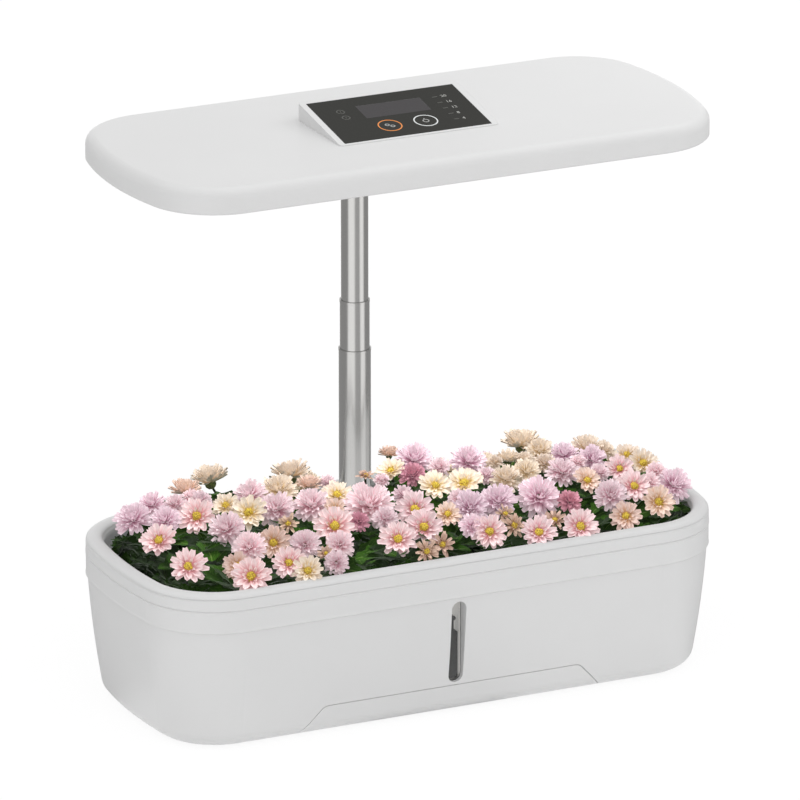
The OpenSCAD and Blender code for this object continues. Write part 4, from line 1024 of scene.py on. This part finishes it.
def stem_curves(places):
    curve = bpy.data.curves.new("stems", "CURVE")
    curve.dimensions = "3D"
    curve.bevel_depth, curve.bevel_resolution, curve.resolution_u = STEM_RADIUS, 1, 5
    for at, way, radius, _, _ in places:
        pod_x, pod_y = min(POD_X, key=lambda x: abs(x - at.x)), min(POD_Y, key=lambda y: abs(y - at.y))
        foot = Vector((pod_x, pod_y, DECK_TOP))
        foot.xy += Vector([random.uniform(-STEM_SPREAD, STEM_SPREAD) for _ in range(2)])
        top = at - way * radius * 0.5
        spline = curve.splines.new("BEZIER")
        spline.bezier_points.add(1)
        rise = (top - foot).length * 0.4
        for point, at, reach in zip(spline.bezier_points, (foot, top), (Vector((0, 0, rise)), way * rise)):
            point.co, point.handle_left, point.handle_right = at, at - reach, at + reach
    holder = bpy.data.objects.new("stems", curve)
    mesh = bpy.data.meshes.new_from_object(holder)
    bpy.data.objects.remove(holder)
    mesh.name = "stems"
    mesh.materials.clear()
    return plant("stems", mesh, [STEM])


def leaf_shape(lobes):
    """A leaf of unit length along +Y, drooping at its tip."""
    bm = start_plant()
    for v in bmesh.ops.create_grid(bm, x_segments=2, y_segments=11, size=0.5, calc_uvs=True)["verts"]:
        s, t = v.co.x * 2, v.co.y + 0.5
        body = 0.30 * sin(pi * min(1.0, 0.06 + t * 0.97)) ** 0.6
        half = body * (1 - 0.38 * (0.5 + 0.5 * cos(2 * pi * lobes * t)))
        half = max(half, 0.025) if t < 0.97 else 0.005
        v.co = Vector((s * half, t, 0.22 * abs(s) * half * 2 - 0.28 * t * t + 0.03 * sin(9 * t + 3 * s)))
    return smooth_mesh(bm, "leaf_%d" % lobes)


def lies_inside(foot, tip):
    """Whether a leaf keeps clear of the mast, the tray's wall and the bed's skyline."""
    mast, way = Vector((MAST_X, MAST_Y)), (tip - foot).xy
    share = max(0.0, min(1.0, (mast - foot.xy).dot(way) / max(1e-9, way.length_squared)))
    return ((foot.xy.lerp(tip.xy, share) - mast).length > MAST_CLEAR
            and over_skyline((foot + tip) / 2, LEAF_PX) < 0 and inside_bed(*foot.xy) and inside_bed(*tip.xy))


def somewhere():
    return random.uniform(-BED_X, BED_X), random.uniform(BED_FRONT, BED_BACK)


def leaf_over_deck(flat):
    """Foot and tip of a leaf somewhere in the bed: a flat one on the deck, or one among the stems."""
    x, y = somewhere()
    top = canopy_height(x, y) if inside_bed(x, y, 0.016) else min(canopy_height(x, y), RIM_TOP + 0.002)
    z = DECK_TOP + random.uniform(0.006, 0.012) if flat else random.uniform(DECK_TOP + 0.010, top - 0.009)
    away = atan2(y * 1.6, x) + random.gauss(0, 3.0 if flat else 0.9)
    pitch = radians(random.uniform(-5, 15) if flat else random.uniform(5, 55))
    way = Vector((cos(away) * cos(pitch), sin(away) * cos(pitch), sin(pitch)))
    half = way * random.uniform(0.011, 0.016)
    return Vector((x, y, z)) - half, Vector((x, y, z)) + half


def leaf_along_wall():
    """Foot and tip of a leaf that lies along the tray's wall."""
    x, y = somewhere()
    while not inside_bed(x, y, 0.002) or inside_bed(x, y, 0.010):
        x, y = somewhere()
    outward = Vector((*past_core(x, y), 0)).normalized()
    along_wall = outward.cross(Vector((0, 0, random.choice((-1, 1)))))
    way = (along_wall + Vector((0, 0, random.uniform(-0.1, 0.35)))).normalized()
    half = way * random.uniform(0.009, 0.013)
    middle = Vector((x, y, random.uniform(DECK_TOP + 0.008, RIM_TOP - 0.010))) - outward * 0.002
    return middle - half, middle + half


def leaf_turn(foot, tip, by_wall):
    """How a leaf is turned from +Y: along its midrib, and rolled; one by the wall stands up along it."""
    turn = (tip - foot).to_track_quat("Y", "Z").to_matrix().to_4x4()
    inward = 1 if turn.col[0].to_3d().dot(foot) < 0 else -1
    lean = WALL_LEAN * inward if by_wall else 0.0
    return turn, Matrix.Rotation(lean + random.uniform(-0.5, 0.5), 4, "Y")


def plant_leaves():
    rows = {"foliage_front": Bouquet(), "foliage_back": Bouquet()}
    for i in range(LEAF_COUNT + LOW_LEAF_COUNT + WALL_LEAF_COUNT):
        by_wall = i >= LEAF_COUNT + LOW_LEAF_COUNT
        for _ in range(LEAF_TRIES):
            foot, tip = leaf_along_wall() if by_wall else leaf_over_deck(i >= LEAF_COUNT)
            turn, roll = leaf_turn(foot, tip, by_wall)
            length, middle = (tip - foot).length, (foot + tip) / 2
            edge = (turn @ roll).to_3x3() @ Vector((LEAF_HALF_WIDTH * length, 0, 0))
            sides = [(middle + way * edge).xy for way in (-1, 1)]
            if lies_inside(foot, tip) and all(inside_bed(*side, EDGE_MARGIN) for side in sides):
                break
        else:
            continue
        row = rows["foliage_front" if (foot.y + tip.y) / 2 < ROW_SPLIT else "foliage_back"]
        # Leaves lower in the tray get a lower tint, times a random share: painted shade under the canopy.
        height = ((foot.z + tip.z) / 2 - DECK_TOP) / (canopy_height(foot.x, foot.y) - DECK_TOP)
        row.put(random.choice(LEAF_SHAPES), Matrix.Translation(foot) @ turn @ roll @ Matrix.Scale(length, 4),
                max(0.0, min(1.0, height)) * random.uniform(0.5, 1.0))
    return {name: plant(name, to_mesh(row.bm, name), [LEAF]) for name, row in rows.items()}


LEAF_SHAPES = [leaf_shape(lobes) for lobes in (3, 4)]
STEMS = stem_curves(PLACES)
FOLIAGE = plant_leaves()
for green in (*FLOWERS.values(), STEMS, *FOLIAGE.values()):
    BED_FILL.objects.link(green)
print("stem faces", len(STEMS.data.polygons), "leaf faces",
      {name: len(row.data.polygons) for name, row in FOLIAGE.items()})
